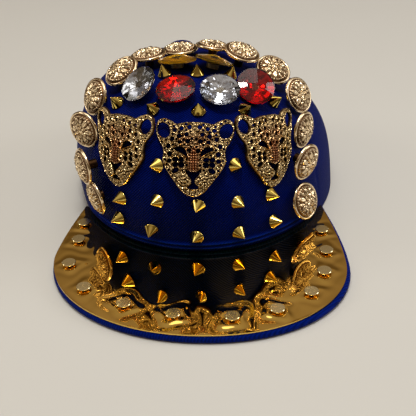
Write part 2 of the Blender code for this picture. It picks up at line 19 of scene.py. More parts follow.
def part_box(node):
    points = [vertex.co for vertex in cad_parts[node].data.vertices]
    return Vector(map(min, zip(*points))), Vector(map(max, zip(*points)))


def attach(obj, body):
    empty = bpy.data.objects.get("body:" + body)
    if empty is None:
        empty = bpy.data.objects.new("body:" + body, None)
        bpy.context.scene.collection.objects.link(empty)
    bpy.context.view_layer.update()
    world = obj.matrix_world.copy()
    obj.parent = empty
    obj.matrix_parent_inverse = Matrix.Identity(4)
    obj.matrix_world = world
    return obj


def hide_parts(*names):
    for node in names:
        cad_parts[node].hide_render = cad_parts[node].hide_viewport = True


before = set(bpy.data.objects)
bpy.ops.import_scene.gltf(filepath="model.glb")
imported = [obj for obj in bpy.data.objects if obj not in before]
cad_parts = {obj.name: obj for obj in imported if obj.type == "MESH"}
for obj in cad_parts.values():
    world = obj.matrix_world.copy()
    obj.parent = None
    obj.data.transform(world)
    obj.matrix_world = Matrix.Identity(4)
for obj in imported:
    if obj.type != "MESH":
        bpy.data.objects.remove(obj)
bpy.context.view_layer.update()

Array = npt.NDArray[np.float64]
Indices = npt.NDArray[np.int64]
Body = tuple[Array, list[Indices]]
Colour = tuple[float, float, float]
Span = tuple[float, float]
Marks = tuple[tuple[float, ...], ...]
Material = bpy.types.Material
Socket = bpy.types.NodeSocket

LOG = logging.getLogger("cap")
BODY = "root"
PHOTO_PIXELS = 416
MERGE = 6
ANGLE_STEP = 0.1
TINY = 1e-9
RIVETS = 12
SPIKES = 20
RIVET_HEIGHT = 0.0017
SPIKE_HEIGHT = 0.0069
BUTTON_HEIGHT = 0.0042


def unit(vectors: Array) -> Array:
    """Vectors divided by their lengths, along the last axis."""
    return vectors / np.linalg.norm(vectors, axis=-1, keepdims=True)


def hump(off: Array, width: float) -> Array:
    """A smooth bump of height one: e to the minus (off over width) squared."""
    return np.exp(-((off / width) ** 2))


def blob(across: Array, up: Array, wide: float, tall: float) -> Array:
    """A smooth oval bump of height one: a hump of the length of (across over wide, up over tall)."""
    return hump(np.hypot(across / wide, up / tall), 1.0)


def mound(off: Array, width: Array | float) -> Array:
    """A round top of height one: the root of 1 minus (off over width) squared, and 0 beyond it."""
    return np.sqrt(np.clip(1 - (off / width) ** 2, 0, 1))


def ease(low: float, high: float, value: Array) -> Array:
    """A smooth rise from 0 at low to 1 at high: t squared times (3 - 2t), t clipped to 0..1."""
    share = np.clip((value - low) / (high - low), 0.0, 1.0)
    return share * share * (3 - 2 * share)


def band(value: Array, low: Span, high: Span) -> Array:
    """A smooth plateau of height one, which rises over the low span and falls over the high one."""
    return ease(*low, value) * (1 - ease(*high, value))


def nearest(value: Array, period: float) -> Array:
    """How far a value is past the nearest multiple of a period, below zero where it is short of it."""
    return (value + period / 2) % period - period / 2


def dimmed(colour: Colour, share: float) -> Colour:
    """A colour's parts times a share."""
    return tuple(share * part for part in colour)


def numbered(stem: str, count: int) -> list[str]:
    """The names stem_01, stem_02 and so on."""
    return [f"{stem}_{number:02d}" for number in range(1, count + 1)]


def with_poles(values: Array, low: float, high: float) -> Array:
    """Numbers by ring and place on it, then those of the low and the high pole."""
    return np.concatenate([values.ravel(), [low, high]])


def ring_body(rings: Array, low_pole: Array | None = None, high_pole: Array | None = None) -> Body:
    """A closed body through rings of points, each end closed by a fan to a pole.

    Args:
        rings: Points by ring and place on the ring, three numbers each.
        low_pole: The point that closes the first ring, or None for the ring's mean.
        high_pole: The point that closes the last ring, or None for the ring's mean.

    Returns:
        The points, then the faces as arrays of quads and of triangles.
    """
    rows, columns = rings.shape[:2]
    ends = ((rings[0], low_pole), (rings[-1], high_pole))
    poles = [ring.mean(axis=0) if pole is None else pole for ring, pole in ends]
    points = np.concatenate([rings.reshape(-1, 3), poles])
    index = np.arange(rows * columns).reshape(rows, columns)
    after = np.roll(index, -1, axis=1)
    quads = np.stack([index[:-1], after[:-1], after[1:], index[1:]], axis=-1).reshape(-1, 4)
    low = np.full(columns, rows * columns)
    fans = [(low, after[0], index[0]), (low + 1, index[-1], after[-1])]
    return points, [quads, np.concatenate([np.stack(fan, axis=-1) for fan in fans])]


def volume(points: Array, faces: list[Indices]) -> float:
    """The signed volume inside faces: a sixth of the sum of each fan triangle's triple product."""
    total = 0.0
    for group in faces:
        for i in range(1, group.shape[1] - 1):
            first, second, third = (points[group[:, k]] for k in (0, i, i + 1))
            total += float(np.einsum("ij,ij->", first, np.cross(second, third)))
    return total / 6


def show(name: str, data: bpy.types.ID) -> bpy.types.Object:
    """Put a mesh, a lamp or a camera into the scene."""
    made = bpy.data.objects.new(name, data)
    bpy.context.scene.collection.objects.link(made)
    return made


def make_piece(
    name: str,
    node: str,
    body: Body,
    materials: list[Material],
    uv: Array | None = None,
    marks: dict[str, Array] | None = None,
    sharp: float = 40.0,
) -> bpy.types.Object:
    """Make a piece at the origin, with its faces pointing out, and let it stand for a solid.

    Args:
        name: The piece's name.
        node: The solid that it stands for.
        body: Its points, in the frame of the solids, and its faces, one array for each count of corners.
        materials: Its material, or several.
        uv: Two numbers for each point, or None.
        marks: Numbers for each point, by attribute name.
        sharp: The edge angle, in degrees, above which shading is not smooth.

    Returns:
        The piece.
    """
    points, faces = body
    if volume(points, faces) < 0:
        faces = [group[:, ::-1] for group in faces]
    corners = np.concatenate([group.ravel() for group in faces])
    sizes = np.concatenate([np.full(len(group), group.shape[1]) for group in faces])
    mesh = bpy.data.meshes.new(name)
    mesh.vertices.add(len(points))
    mesh.vertices.foreach_set("co", points.astype(np.float32).ravel())
    mesh.loops.add(len(corners))
    mesh.loops.foreach_set("vertex_index", corners.astype(np.int32))
    mesh.polygons.add(len(sizes))
    mesh.polygons.foreach_set("loop_start", (np.cumsum(sizes) - sizes).astype(np.int32))
    mesh.update(calc_edges=True)
    if uv is not None:
        layer = mesh.uv_layers.new(name="cloth")
        layer.data.foreach_set("uv", uv[corners].astype(np.float32).ravel())
    for key, values in (marks or {}).items():
        mesh.attributes.new(key, "FLOAT", "POINT").data.foreach_set("value", values.astype(np.float32))
    mesh.shade_smooth()
    mesh.set_sharp_from_angle(angle=radians(sharp))
    for material in materials:
        mesh.materials.append(material)
    piece = show(name, mesh)
    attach(piece, BODY)
    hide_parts(node)
    LOG.info("%s: %d faces", piece.name, len(mesh.polygons))
    return piece


def node_points(node: str) -> Array:
    """The separate points of a solid, each listed once."""
    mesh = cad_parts[node].data
    flat = np.zeros(len(mesh.vertices) * 3, np.float32)
    mesh.vertices.foreach_get("co", flat)
    return np.unique(flat.reshape(-1, 3).astype(float).round(MERGE), axis=0)


@dataclass(frozen=True)
class CapForm:
    """The sizes that the cap's cloth surfaces share, as the solids have them.

    The bulge is its bearing and climb, how far it spreads round and up in degrees, and its height as a
    share of the band's width.
    """

    band_width: float = 0.168
    band_length: float = 0.200
    crown_height: float = 0.091
    front_squareness: float = 3.0
    side_squareness: float = 2.4
    back_squareness: float = 1.9
    top_forward: float = 0.0092
    top_leftward: float = 0.0117
    fabric: float = 0.002
    bulge: tuple[float, float, float, float, float] = (97, 28, 30, 20, 0.028)
    brim_reach: float = 0.0775
    brim_overhang: float = 0.0013
    brim_thickness: float = 0.0042
    widest_ahead: float = 0.0072
    front_share: float = 0.66
    front_power: float = 2.10
    front_skew: float = 0.0058
    side_power: float = 1.5
    corner_bearing: float = 60.5
    corner_width: float = 0.0026
    arch_width: float = 0.066
    clearance: float = 0.0003

    @cached_property
    def forward(self) -> float:
        """How far the band's middle lies from the origin, read from the front of the brim's solid."""
        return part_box("brim")[0].y + self.brim_reach + self.band_length / 2

    def squareness(self, bearing: Array) -> Array:
        """The power of the profile: from the side's to the end's by the cosine squared."""
        facing = np.cos(np.radians(bearing))
        end = np.where(facing > 0, self.front_squareness, self.back_squareness)
        return self.side_squareness + (end - self.side_squareness) * facing**2

    def point(self, bearing: Array | float, climb: Array | float) -> Array:
        """A point on the crown: a superellipse profile turned round an ellipse, plus one bulge.

        Args:
            bearing: Degrees round from the front.
            climb: Degrees up from the rim.

        Returns:
            Points along a last axis of three.
        """
        bearing, climb = np.broadcast_arrays(np.asarray(bearing, float), climb)
        power = self.squareness(bearing)
        turn, rise = np.radians(bearing), np.radians(climb)
        flat, tall = np.abs(np.cos(rise)), np.abs(np.sin(rise))
        scale = (flat**power + tall**power) ** (-1 / power)
        flat, tall = flat * scale, tall * scale
        at, up, reach_round, reach_up, push = self.bulge
        off = nearest(bearing - at, 360) / reach_round
        swell = push * self.band_width * np.exp(-(off**2) - ((climb - up) / reach_up) ** 2)
        across = (self.band_width / 2 * flat + swell) * np.sin(turn) - self.top_leftward * tall
        along = -(self.band_length / 2 * flat + swell) * np.cos(turn) - self.top_forward * tall
        return np.stack([across, along + self.forward, self.crown_height * tall], axis=-1)

    def normal(self, bearing: Array | float, climb: Array | float) -> Array:
        """The direction out of the crown: the cross product of steps round it and up it."""
        climb = np.minimum(climb, 90 - 2 * ANGLE_STEP)
        round_way = self.point(bearing + ANGLE_STEP, climb) - self.point(bearing - ANGLE_STEP, climb)
        up_way = self.point(bearing, climb + ANGLE_STEP) - self.point(bearing, climb)
        return unit(np.cross(round_way, up_way))

    def at(self, bearing: Array, climb: Array, depth: Array | float) -> Array:
        """A point this deep under the crown's outer face, level with it at the rim."""
        out = self.normal(bearing, climb)
        out[..., 2] *= climb > 0
        return self.point(bearing, climb) - unit(out) * np.asarray(depth)[..., None]

    def climb_at(self, bearing: Array, height: Array | float) -> Array:
        """The climb at which the crown is this high, from the superellipse solved for its flat part."""
        power = self.squareness(bearing)
        tall = np.asarray(height) / self.crown_height
        return np.degrees(np.arctan2(tall, (1 - tall**power) ** (1 / power)))

    def brim_inner(self, along: Array, gap: float, height: float) -> Array:
        """A point this far off the crown's wall, along running from -1 to 1 round the brim."""
        bearing = self.corner_bearing * along
        points = self.at(bearing, self.climb_at(bearing, height), -gap)
        points[..., 2] = height
        return points

    def brim_outer(self, along: Array, inset: float, height: float) -> Array:
        """A point on the brim's free edge, or inside it: two superellipse arcs, then a straight lead-in.

        The front is pushed towards +X, the more the further ahead it is of the widest place.

        Args:
            along: From -1 at the left corner to 1 at the right one.
            inset: How far inside the free edge.
            height: The points' height.

        Returns:
            Points along a last axis of three.
        """
        half = self.band_width / 2 + self.brim_overhang - inset
        root = self.forward - self.band_length / 2
        front, widest = root - self.brim_reach + inset, root - self.widest_ahead
        turn = radians(self.corner_bearing)
        corner = self.band_width / 2 * sin(turn) + self.corner_width - inset / 2
        corner_up = self.forward - self.band_length / 2 * cos(turn)
        arc = np.clip(np.abs(along) / self.front_share, 0, 1) * pi / 2
        side = np.clip((np.abs(along) - self.front_share) / (1 - self.front_share), 0, 1)
        bow = half * np.sin(arc) ** (2 / self.front_power)
        ahead = np.cos(arc) ** (2 / self.front_power)
        across = np.where(side > 0, half - (half - corner) * side**self.side_power, bow)
        up = np.where(side > 0, widest + (corner_up - widest) * side, widest - (widest - front) * ahead)
        aside = np.sign(along) * across + self.front_skew * np.where(side > 0, 0.0, ahead)
        return np.stack([aside, up, np.full(up.shape, height)], axis=-1)


FORM = CapForm()


class Nodes:
    """A short way to put shader nodes into one material or world."""

    def __init__(self, block: bpy.types.ID, shader: str = "Principled BSDF") -> None:
        """Start with only the block's own shader and output."""
        block.use_nodes = True
        self.block = block
        self.tree = block.node_tree
        self.shader = self.tree.nodes[shader]

    def feed(self, target: Socket, value: object) -> None:
        """Link an output to an input, or set the input to a constant."""
        if isinstance(value, Socket):
            self.tree.links.new(value, target)
        else:
            target.default_value = value

    def add(self, kind: str, inputs: dict | None = None, **values: object) -> bpy.types.Node:
        """Add a node, set its properties and feed its inputs.

        Args:
            kind: Blender's name of the node's type, without ShaderNode in front.
            inputs: Outputs to link and constants to set, by input.
            values: Properties by name.

        Returns:
            The node.
        """
        node = self.tree.nodes.new("ShaderNode" + kind)
        for key, value in values.items():
            setattr(node, key, value)
        for key, value in (inputs or {}).items():
            self.feed(node.inputs[key], value)
        return node

    def set(self, **values: object) -> None:
        """Feed the shader's own inputs, by name with underscores for spaces."""
        for key, value in values.items():
            self.feed(self.shader.inputs[key.replace("_", " ")], value)

    def noise(self, scale: float, detail: float) -> Socket:
        """A noise value over the piece's own coordinates."""
        place = self.add("TexCoord").outputs["Object"]
        return self.add("TexNoise", {"Vector": place, "Scale": scale, "Detail": detail}).outputs["Fac"]

    def attribute(self, name: str) -> Socket:
        """The value of a piece's attribute."""
        return self.add("Attribute", attribute_name=name).outputs["Fac"]

    def ramp(self, share: Socket, stops: dict[float, Colour]) -> Socket:
        """A colour between the stops round a share, each stop at its own share."""
        ramp = self.add("ValToRGB", {"Fac": share})
        elements = ramp.color_ramp.elements
        while len(elements) < len(stops):
            elements.new(0.5)
        for element, (position, colour) in zip(elements, stops.items()):
            element.position = position
            element.color = (*colour, 1)
        return ramp.outputs["Color"]

    def spread(self, value: Socket, low: float, high: float) -> Socket:
        """A value mapped from 0..1 to low..high."""
        return self.add("MapRange", {"Value": value, "To Min": low, "To Max": high}).outputs["Result"]

    def math(self, operation: str, *values: object, clamp: bool = False) -> Socket:
        """The outcome of a math node on its inputs in order."""
        return self.add("Math", dict(enumerate(values)), operation=operation, use_clamp=clamp).outputs[0]

    def tint(self, way: str, share: Socket, colour: Socket, other: Colour) -> Socket:
        """A colour mixed with another one, by a share from 0 to 1 and one of Blender's ways to mix."""
        inputs = {"Factor": share, "A": colour, "B": (*other, 1)}
        return self.add("Mix", inputs, data_type="RGBA", blend_type=way).outputs["Result"]

    def bump(self, height: Socket, distance: float, strength: float = 1.0) -> None:
        """Give the shader a bump, on top of any that it has."""
        bump = self.add("Bump", {"Height": height, "Distance": distance, "Strength": strength})
        for link in self.shader.inputs["Normal"].links:
            self.feed(bump.inputs["Normal"], link.from_socket)
        self.set(Normal=bump.outputs["Normal"])


@dataclass(frozen=True)
class TwillFinish:
    """Diagonal-ribbed cotton, whose ribs follow the cloth's own map."""

    name: str = "blue_twill_cloth"
    shade: Colour = (0.0001, 0.0008, 0.016)
    light: Colour = (0.0004, 0.0090, 0.200)
    # A brighter blue for the raised welts and the brim's round edge: a painted highlight.
    worn_and_lit: Colour = (0.003, 0.035, 0.42)
    sheen_tint: Colour = (0.02, 0.12, 0.80)
    gloss_tint: Colour = (0.05, 0.20, 1.0)
    pitch: float = 0.0013
    rib: float = 0.00024
    contrast: float = 0.60
    mottle: Span = (-0.05, 0.35)
    mottle_noise: Span = (90, 4)
    fibre_noise: Span = (2600, 3)
    fibre_strength: float = 0.6
    roughness: float = 0.62
    sheen: float = 0.04
    sheen_roughness: float = 0.4
    gloss: float = 0.08

    def make(self) -> Material:
        """The material: ribs from a wave along the map's diagonal, with yarn and mottling from noise, and a
        brighter blue mixed in by an attribute as a painted highlight.
        """
        nodes = Nodes(bpy.data.materials.new(self.name))
        place = nodes.add("UVMap", uv_map="cloth").outputs["UV"]
        turned_map = nodes.add("Mapping", {"Vector": place, "Rotation": (0, 0, pi / 4)}).outputs["Vector"]
        inputs = {"Vector": turned_map, "Scale": 2 * pi / (20 * self.pitch)}
        wave = nodes.add("TexWave", inputs, bands_direction="X", wave_profile="SIN").outputs["Fac"]
        mottle = nodes.spread(nodes.noise(*self.mottle_noise), *self.mottle)
        share = nodes.math("MULTIPLY_ADD", wave, self.contrast, mottle)
        cloth = nodes.ramp(share, {0: self.shade, 1: self.light})
        nodes.bump(wave, self.rib)
        nodes.bump(nodes.noise(*self.fibre_noise), self.rib / 2, self.fibre_strength)
        # Painted highlight: the brighter blue is mixed in where the piece's attribute asks for it.
        lit_cloth = nodes.tint("MIX", nodes.attribute("worn_and_lit"), cloth, self.worn_and_lit)
        nodes.set(Base_Color=lit_cloth, Roughness=self.roughness, Sheen_Tint=(*self.sheen_tint, 1))
        nodes.set(Sheen_Weight=self.sheen, Sheen_Roughness=self.sheen_roughness)
        nodes.set(Specular_IOR_Level=self.gloss, Specular_Tint=(*self.gloss_tint, 1))
        return nodes.block


@dataclass(frozen=True)
class PlainFinish:
    """An even stuff, whose colour and roughness drift with noise over a fine bump.

    The tone is a noise's scale and detail, for the drift from worn to colour. The haze is those of
    another one, and the roughness's ends. The grain is those of a third, and its bump's depth. The
    rest are constants of the shader, by name.
    """

    name: str
    colour: Colour
    worn_and_lit: Colour
    tone: tuple[float, float]
    haze: tuple[float, float, float, float] | None = None
    grain: tuple[float, float, float] | None = None
    grain_strength: float = 0.5
    constants: dict[str, float] = field(default_factory=dict)

    def make(self) -> Material:
        """The material: the colour always drifts, roughness and bump where they are given."""
        nodes = Nodes(bpy.data.materials.new(self.name))
        colour = nodes.ramp(nodes.noise(*self.tone), {0: self.worn_and_lit, 1: self.colour})
        nodes.set(Base_Color=colour, **self.constants)
        if self.haze:
            nodes.set(Roughness=nodes.spread(nodes.noise(*self.haze[:2]), *self.haze[2:]))
        if self.grain:
            nodes.bump(nodes.noise(*self.grain[:2]), self.grain[2], self.grain_strength)
        return nodes.block


def polished(name: str, colour: Colour, worn_and_lit: Colour, roughness: float) -> PlainFinish:
    """Polished metal with faint scuffs, from 0.6 to 1.5 times as rough as stated."""
    haze = (900, 4, roughness * 0.6, roughness * 1.5)
    scuffs, constants = (1500, 3, 0.00001), {"Metallic": 1.0}
    return PlainFinish(name, colour, worn_and_lit, (240, 3), haze, scuffs, constants=constants)


def glass(name: str, tint: Colour) -> PlainFinish:
    """Clear or coloured cut glass."""
    constants = {"Transmission_Weight": 1.0, "Roughness": 0.0, "IOR": 1.46}
    return PlainFinish(name, tint, dimmed(tint, 0.97), (150, 2), constants=constants)


def mirror(name: str, colour: Colour) -> PlainFinish:
    """Mirror sheet, with haze that drifts a little."""
    haze = (120, 3, 0.015, 0.05)
    return PlainFinish(name, colour, dimmed(colour, 0.94), (60, 2), haze, constants={"Metallic": 1.0})


def plastic(name: str, colour: Colour) -> PlainFinish:
    """Moulded plastic, a fine grain under a half-matte skin."""
    grain, constants = (3000, 2, 0.00003), {"Roughness": 0.42}
    return PlainFinish(name, colour, dimmed(colour, 0.8), (150, 2), grain=grain, constants=constants)


@dataclass(frozen=True)
class CastFinish:
    """Plated cast metal, bright on its high parts and tarnished in its recesses; the darkest plating on a
    piece's back is painted shade.
    """

    name: str
    high: Colour
    deep: Colour
    roughness: float
    # A tint multiplied in by its attribute: red on the heads, and on the medallions a grey that paints shade
    # on their backs.
    blush_and_shade: Colour = (0.42, 0.11, 0.05)
    rougher: float = 0.25
    clean: float = 0.15
    stain: float = 0.3
    stain_noise: Span = (700, 3)
    grain: float = 0.00005
    grain_noise: Span = (1300, 4)
    grain_strength: float = 0.6

    def make(self) -> Material:
        """The material: an attribute darkens and roughens the plating, for tarnish in recesses and painted
        shade on backs, and another tints it.
        """
        nodes = Nodes(bpy.data.materials.new(self.name))
        # Tarnish in the recesses, and painted shade on pieces' backs, which are set to the full darkness.
        recess = nodes.math("SUBTRACT", nodes.attribute("recess"), self.clean)
        tarnish_and_shade = nodes.math("MULTIPLY_ADD", nodes.noise(*self.stain_noise), self.stain, recess, clamp=True)
        plating = nodes.ramp(tarnish_and_shade, {0: self.high, 1: self.deep})
        nodes.set(Base_Color=nodes.tint("MULTIPLY", nodes.attribute("blush_and_shade"), plating, self.blush_and_shade))
        nodes.set(Roughness=nodes.spread(tarnish_and_shade, self.roughness, self.roughness + self.rougher), Metallic=1.0)
        nodes.bump(nodes.noise(*self.grain_noise), self.grain, self.grain_strength)
        return nodes.block


@dataclass
class Crown:
    """The hollow cloth crown, with the welts at its brim seam and the arch at its back."""

    finish: TwillFinish
    arch_height: float = 0.042
    arch_bearings: Span = (140.0, 220.0)
    arch_columns: int = 72
    halvings: int = 40
    columns: int = 252
    rim_rows: int = 30
    rows: int = 84
    inner_rows: int = 36
    hem_rows: int = 5
    rim_climb: float = 10.0
    welt_heights: Span = (0.0072, 0.0100)
    welt_width: float = 0.0009
    welt_rise: float = 0.0011
    welt_ends: Span = (-6, 1)
    seam_bearings: tuple[float, ...] = (-118, -60, 60, 118, 180)
    seam_width: float = 0.0012
    seam_depth: float = 0.0004
    seam_start: float = 0.004
    button: Span = (190, 76)
    # The share of the brighter blue, a painted highlight, on the highest welts.
    highlight_share: float = 0.55

    def bearings(self) -> tuple[Array, Array]:
        """Column bearings and the climb at which each starts.

        In the arch a column meets the half ellipse x = a cos t, z = b sin t, at even steps of t; its
        bearing is found by halving an interval in which x falls steadily.

        Returns:
            The bearings, rising through one whole turn, and the lowest climbs.
        """
        turn = np.linspace(0, pi, self.arch_columns + 1)
        goal = FORM.arch_width / 2 * np.cos(turn)
        height = np.maximum(self.arch_height * np.sin(turn), 0)
        low, high = (np.full(turn.shape, end) for end in self.arch_bearings)
        for _ in range(self.halvings):
            middle = (low + high) / 2
            right = FORM.point(middle, FORM.climb_at(middle, height))[..., 0] > goal
            low, high = np.where(right, middle, low), np.where(right, high, middle)
        rest = np.linspace(high[-1], high[0] + 360, self.columns + 1)[1:-1]
        starts = np.concatenate([FORM.climb_at(high, height), np.zeros(len(rest))])
        return np.concatenate([high, rest]), starts

    def relief(self, bearing: Array, points: Array) -> Array:
        """How far the cloth stands proud: two welts above the brim, and grooves at the panel seams.

        A seam is where a vertical plane through the button and a rim point cuts the crown, and its
        groove is a smooth bump of the distance from that plane, taken away.

        Args:
            bearing: The points' bearings.
            points: Points on the plain crown.

        Returns:
            Heights along the outward direction.
        """
        ends = [FORM.corner_bearing + end for end in self.welt_ends]
        rise = sum(hump(points[..., 2] - level, self.welt_width) for level in self.welt_heights)
        rise = rise * self.welt_rise * (1 - ease(*ends, np.abs(nearest(bearing, 360))))
        middle = FORM.point(*self.button)
        from_middle = points[..., :2] - middle[:2]
        for seam in self.seam_bearings:
            way = unit((FORM.point(seam, 0) - middle)[:2])
            aside = from_middle @ np.array([-way[1], way[0]])
            ahead = ease(0.0, self.seam_start, from_middle @ way)
            rise = rise - self.seam_depth * hump(aside, self.seam_width) * ahead
        return rise

    def map(self, points: Array) -> Array:
        """The cloth's map: the bearing times the radius there, and the way up the wall, in metres."""
        across, along = points[:, 0] + FORM.top_leftward / 2, points[:, 1] - FORM.forward
        radius = np.hypot(across, along)
        return np.stack([np.arctan2(across, -along) * radius, points[:, 2] - radius], axis=-1)

    def build(self) -> None:
        """Make the shell: inner face down, round the hem and up the outer face."""
        bearing, start = self.bearings()
        edge = FORM.fabric / 2
        low = start + degrees(edge / FORM.crown_height)
        shares = [np.linspace(0, 1, n, endpoint=False) for n in (self.rim_rows, self.rows, self.inner_rows)]
        rim, wall, inside = (share[:, None] for share in shares)
        left = 90 - low - self.rim_climb
        above = np.concatenate([low + self.rim_climb * rim, low + self.rim_climb + left * wall])
        rise = self.relief(bearing, FORM.at(bearing, above, 0.0))
        outer = FORM.at(bearing, above, -rise)
        inner = FORM.at(bearing, low + (90 - low) * inside[::-1], FORM.fabric)
        down = unit(FORM.point(bearing, start) - FORM.point(bearing, low))
        turns = np.linspace(0, pi, self.hem_rows + 2)[1:-1, None, None]
        sweep = down * np.sin(turns) - FORM.normal(bearing, low) * np.cos(turns)
        rings = np.concatenate([inner, FORM.at(bearing, low, edge) + edge * sweep, outer])
        rings[..., 2] = np.maximum(rings[..., 2], 0.0)
        top = FORM.point(0, 90)
        body = ring_body(rings, top - [0, 0, FORM.fabric], top)
        # Painted highlight: the raised welts get the brighter blue, the more the higher they stand.
        worn_and_lit = np.zeros(rings.shape[:2])
        worn_and_lit[-len(outer) :] = self.highlight_share * np.clip(rise / self.welt_rise, 0, 1) ** 2
        marks = {"worn_and_lit": with_poles(worn_and_lit, 0, 0)}
        cloth = [self.finish.make()]
        make_piece("crown_cloth", "crown", body, cloth, self.map(body[0]), marks)


@dataclass
class Brim:
    """The cloth-covered brim, with a round free edge and rows of stitching below."""

    finish: TwillFinish
    columns: int = 300
    edge_rows: int = 9
    flat_rows: int = 30
    stitch_rows: int = 8
    stitch_depth: float = 0.00018
    stitch_sharpness: int = 8
    # The share of the brighter blue, a painted highlight, on the round edge.
    highlight_share: float = 0.15

    def build(self) -> None:
        """Make the board: underside out, round the edge and back over the top."""
        along = np.linspace(-1, 1, self.columns)
        thick, half = FORM.brim_thickness, FORM.brim_thickness / 2
        inner, top_inner = (FORM.brim_inner(along, FORM.clearance, level)[:, None] for level in (0, thick))
        outer = FORM.brim_outer(along, 0.0, 0.0)[:, None]
        reach = np.linalg.norm(inner - outer, axis=-1, keepdims=True)
        turns = np.linspace(-pi / 2, pi / 2, self.edge_rows)[:, None]
        depth = np.linspace(0, 1, self.flat_rows)[:-1, None]
        room = (inner - outer) / reach * np.minimum(half, reach / 3)
        start = outer + room
        edge = start - room * np.cos(turns)
        edge[..., 2] = half + half * np.sin(turns[:, 0])
        below = inner + (start - inner) * depth
        stitch = 0.5 + 0.5 * np.cos(2 * pi * self.stitch_rows * depth[:, 0])
        below[..., 2] = self.stitch_depth * stitch**self.stitch_sharpness
        above = start + (top_inner - start) * (1 - depth[::-1])
        above[..., 2] = thick
        rings = np.concatenate([below, edge, above], axis=1)
        body = ring_body(rings)
        # Painted highlight: the round free edge gets a share of the brighter blue.
        worn_and_lit = np.zeros(rings.shape[:2])
        worn_and_lit[:, len(depth) : len(depth) + self.edge_rows] = self.highlight_share
        uv, marks = body[0][:, :2] + body[0][:, 2:], {"worn_and_lit": with_poles(worn_and_lit, 0, 0)}
        make_piece("brim_cloth", "brim", body, [self.finish.make()], uv, marks)


@dataclass
class MirrorPlate:
    """The mirror sheet on the brim, waved and puckered round its rivets."""

    finish: PlainFinish
    rivets: list[Array]
    margin: float = 0.0014
    leftward: float = 0.0008
    thickness: float = 0.0007
    columns: int = 420
    rows: int = 84
    pucker: float = 0.00011
    pucker_ring: float = 0.0058
    pucker_width: float = 0.0018
    front_pucker: float = 2.6
    front_rivets: Span = (-0.125, -0.100)
    hollow: float = 0.6
    hollow_ring: float = 1.75
    hollow_width: float = 0.0022
    wave: float = 0.00010
    front_waves: Span = (-0.128, -0.092)
    settling: float = 0.3

    def height(self, points: Array) -> Array:
        """The sheet's waves: rings round each rivet, and slow ripples that grow to the front edge.

        A ring is a smooth bump of the distance from its rivet, made uneven by cosines of the turn
        round it. A ripple is a sine across the sheet, bent by its place along it.

        Args:
            points: Points of the flat sheet.

        Returns:
            Heights over the flat sheet.
        """
        across, along = points[..., 0], points[..., 1]
        rise = np.zeros(across.shape)
        for number, (middle, ahead, _) in enumerate(self.rivets):
            reach, turn = np.hypot(across - middle, along - ahead), np.arctan2(along - ahead, across - middle)
            reach = reach * (1 + 0.14 * np.cos(4 * turn + number) + 0.10 * np.cos(2 * turn - 2 * number))
            pull = self.pucker * (1 + self.front_pucker * (1 - ease(*self.front_rivets, ahead)))
            ring = hump(reach - self.pucker_ring, self.pucker_width)
            rise += pull * (1 + 0.5 * np.cos(3 * turn + 2 * number)) * ring
            rise -= pull * self.hollow * hump(reach - self.hollow_ring * self.pucker_ring, self.hollow_width)
        front = 1 - ease(*self.front_waves, along)
        for everywhere, ahead, length, bend in (
            (0.35, 1.0, 0.0045, 1.7 * np.sin(along / 0.009)),
            (0.0, 0.7, 0.0017, 0.8 * np.sin(along / 0.005)),
            (0.0, 0.5, 0.0030, -along / 0.0110),
        ):
            rise += self.wave * (everywhere + ahead * front) * np.sin(across / length + bend)
        return rise

    def build(self) -> None:
        """Make the sheet: its flat underside out and its waved face back."""
        low = FORM.brim_thickness + FORM.clearance
        along = np.linspace(-1, 1, self.columns)
        depth = np.linspace(0, 1, self.rows)[:, None]
        sides = []
        for level in (low, low + self.thickness):
            inner = FORM.brim_inner(along, 2 * FORM.clearance, level)
            outer = FORM.brim_outer(along, self.margin, level) - [self.leftward, 0, 0]
            sides.append(inner[:, None] + (outer - inner)[:, None] * depth)
        under, over = sides
        over[..., 2] += self.height(over) * np.sin(pi * depth[:, 0]) ** self.settling
        body = ring_body(np.concatenate([under, over[:, ::-1]], axis=1))
        make_piece("mirror_sheet", "brim_plate", body, [self.finish.make()])


@dataclass
class Strap:
    """The plain closing strap across the rear arch, with rounded edges."""

    finish: PlainFinish
    height: float = 0.017
    lift: float = 0.001
    thickness: float = 0.0016
    lap: float = 0.013
    facets_round: int = 44
    columns: int = 120
    section: int = 48
    tall_power: float = 10
    deep_power: float = 2.6

    def build(self) -> None:
        """Make the strap: a rounded-rectangle section carried round inside the wall."""
        sagitta = pi**2 * FORM.band_width / (4 * self.facets_round**2)
        near = FORM.fabric + FORM.clearance + sagitta
        half_turn = degrees((FORM.arch_width / 2 + self.lap) / (FORM.band_width / 2))
        bearing = (180 + half_turn * np.linspace(-1, 1, self.columns))[:, None]
        turn = 2 * pi * np.arange(self.section)[None, :] / self.section
        tall, deep = np.sin(turn), np.cos(turn)
        scale = (np.abs(tall) ** self.tall_power + np.abs(deep) ** self.deep_power) ** (-1 / self.tall_power)
        level, depth = (0.5 + 0.5 * np.clip(part * scale, -1, 1) for part in (tall, deep))
        climb = FORM.climb_at(bearing, self.lift + self.height * level)
        body = ring_body(FORM.at(bearing, climb, near + self.thickness * depth))
        make_piece("strap_band", "snap_strap", body, [self.finish.make()])


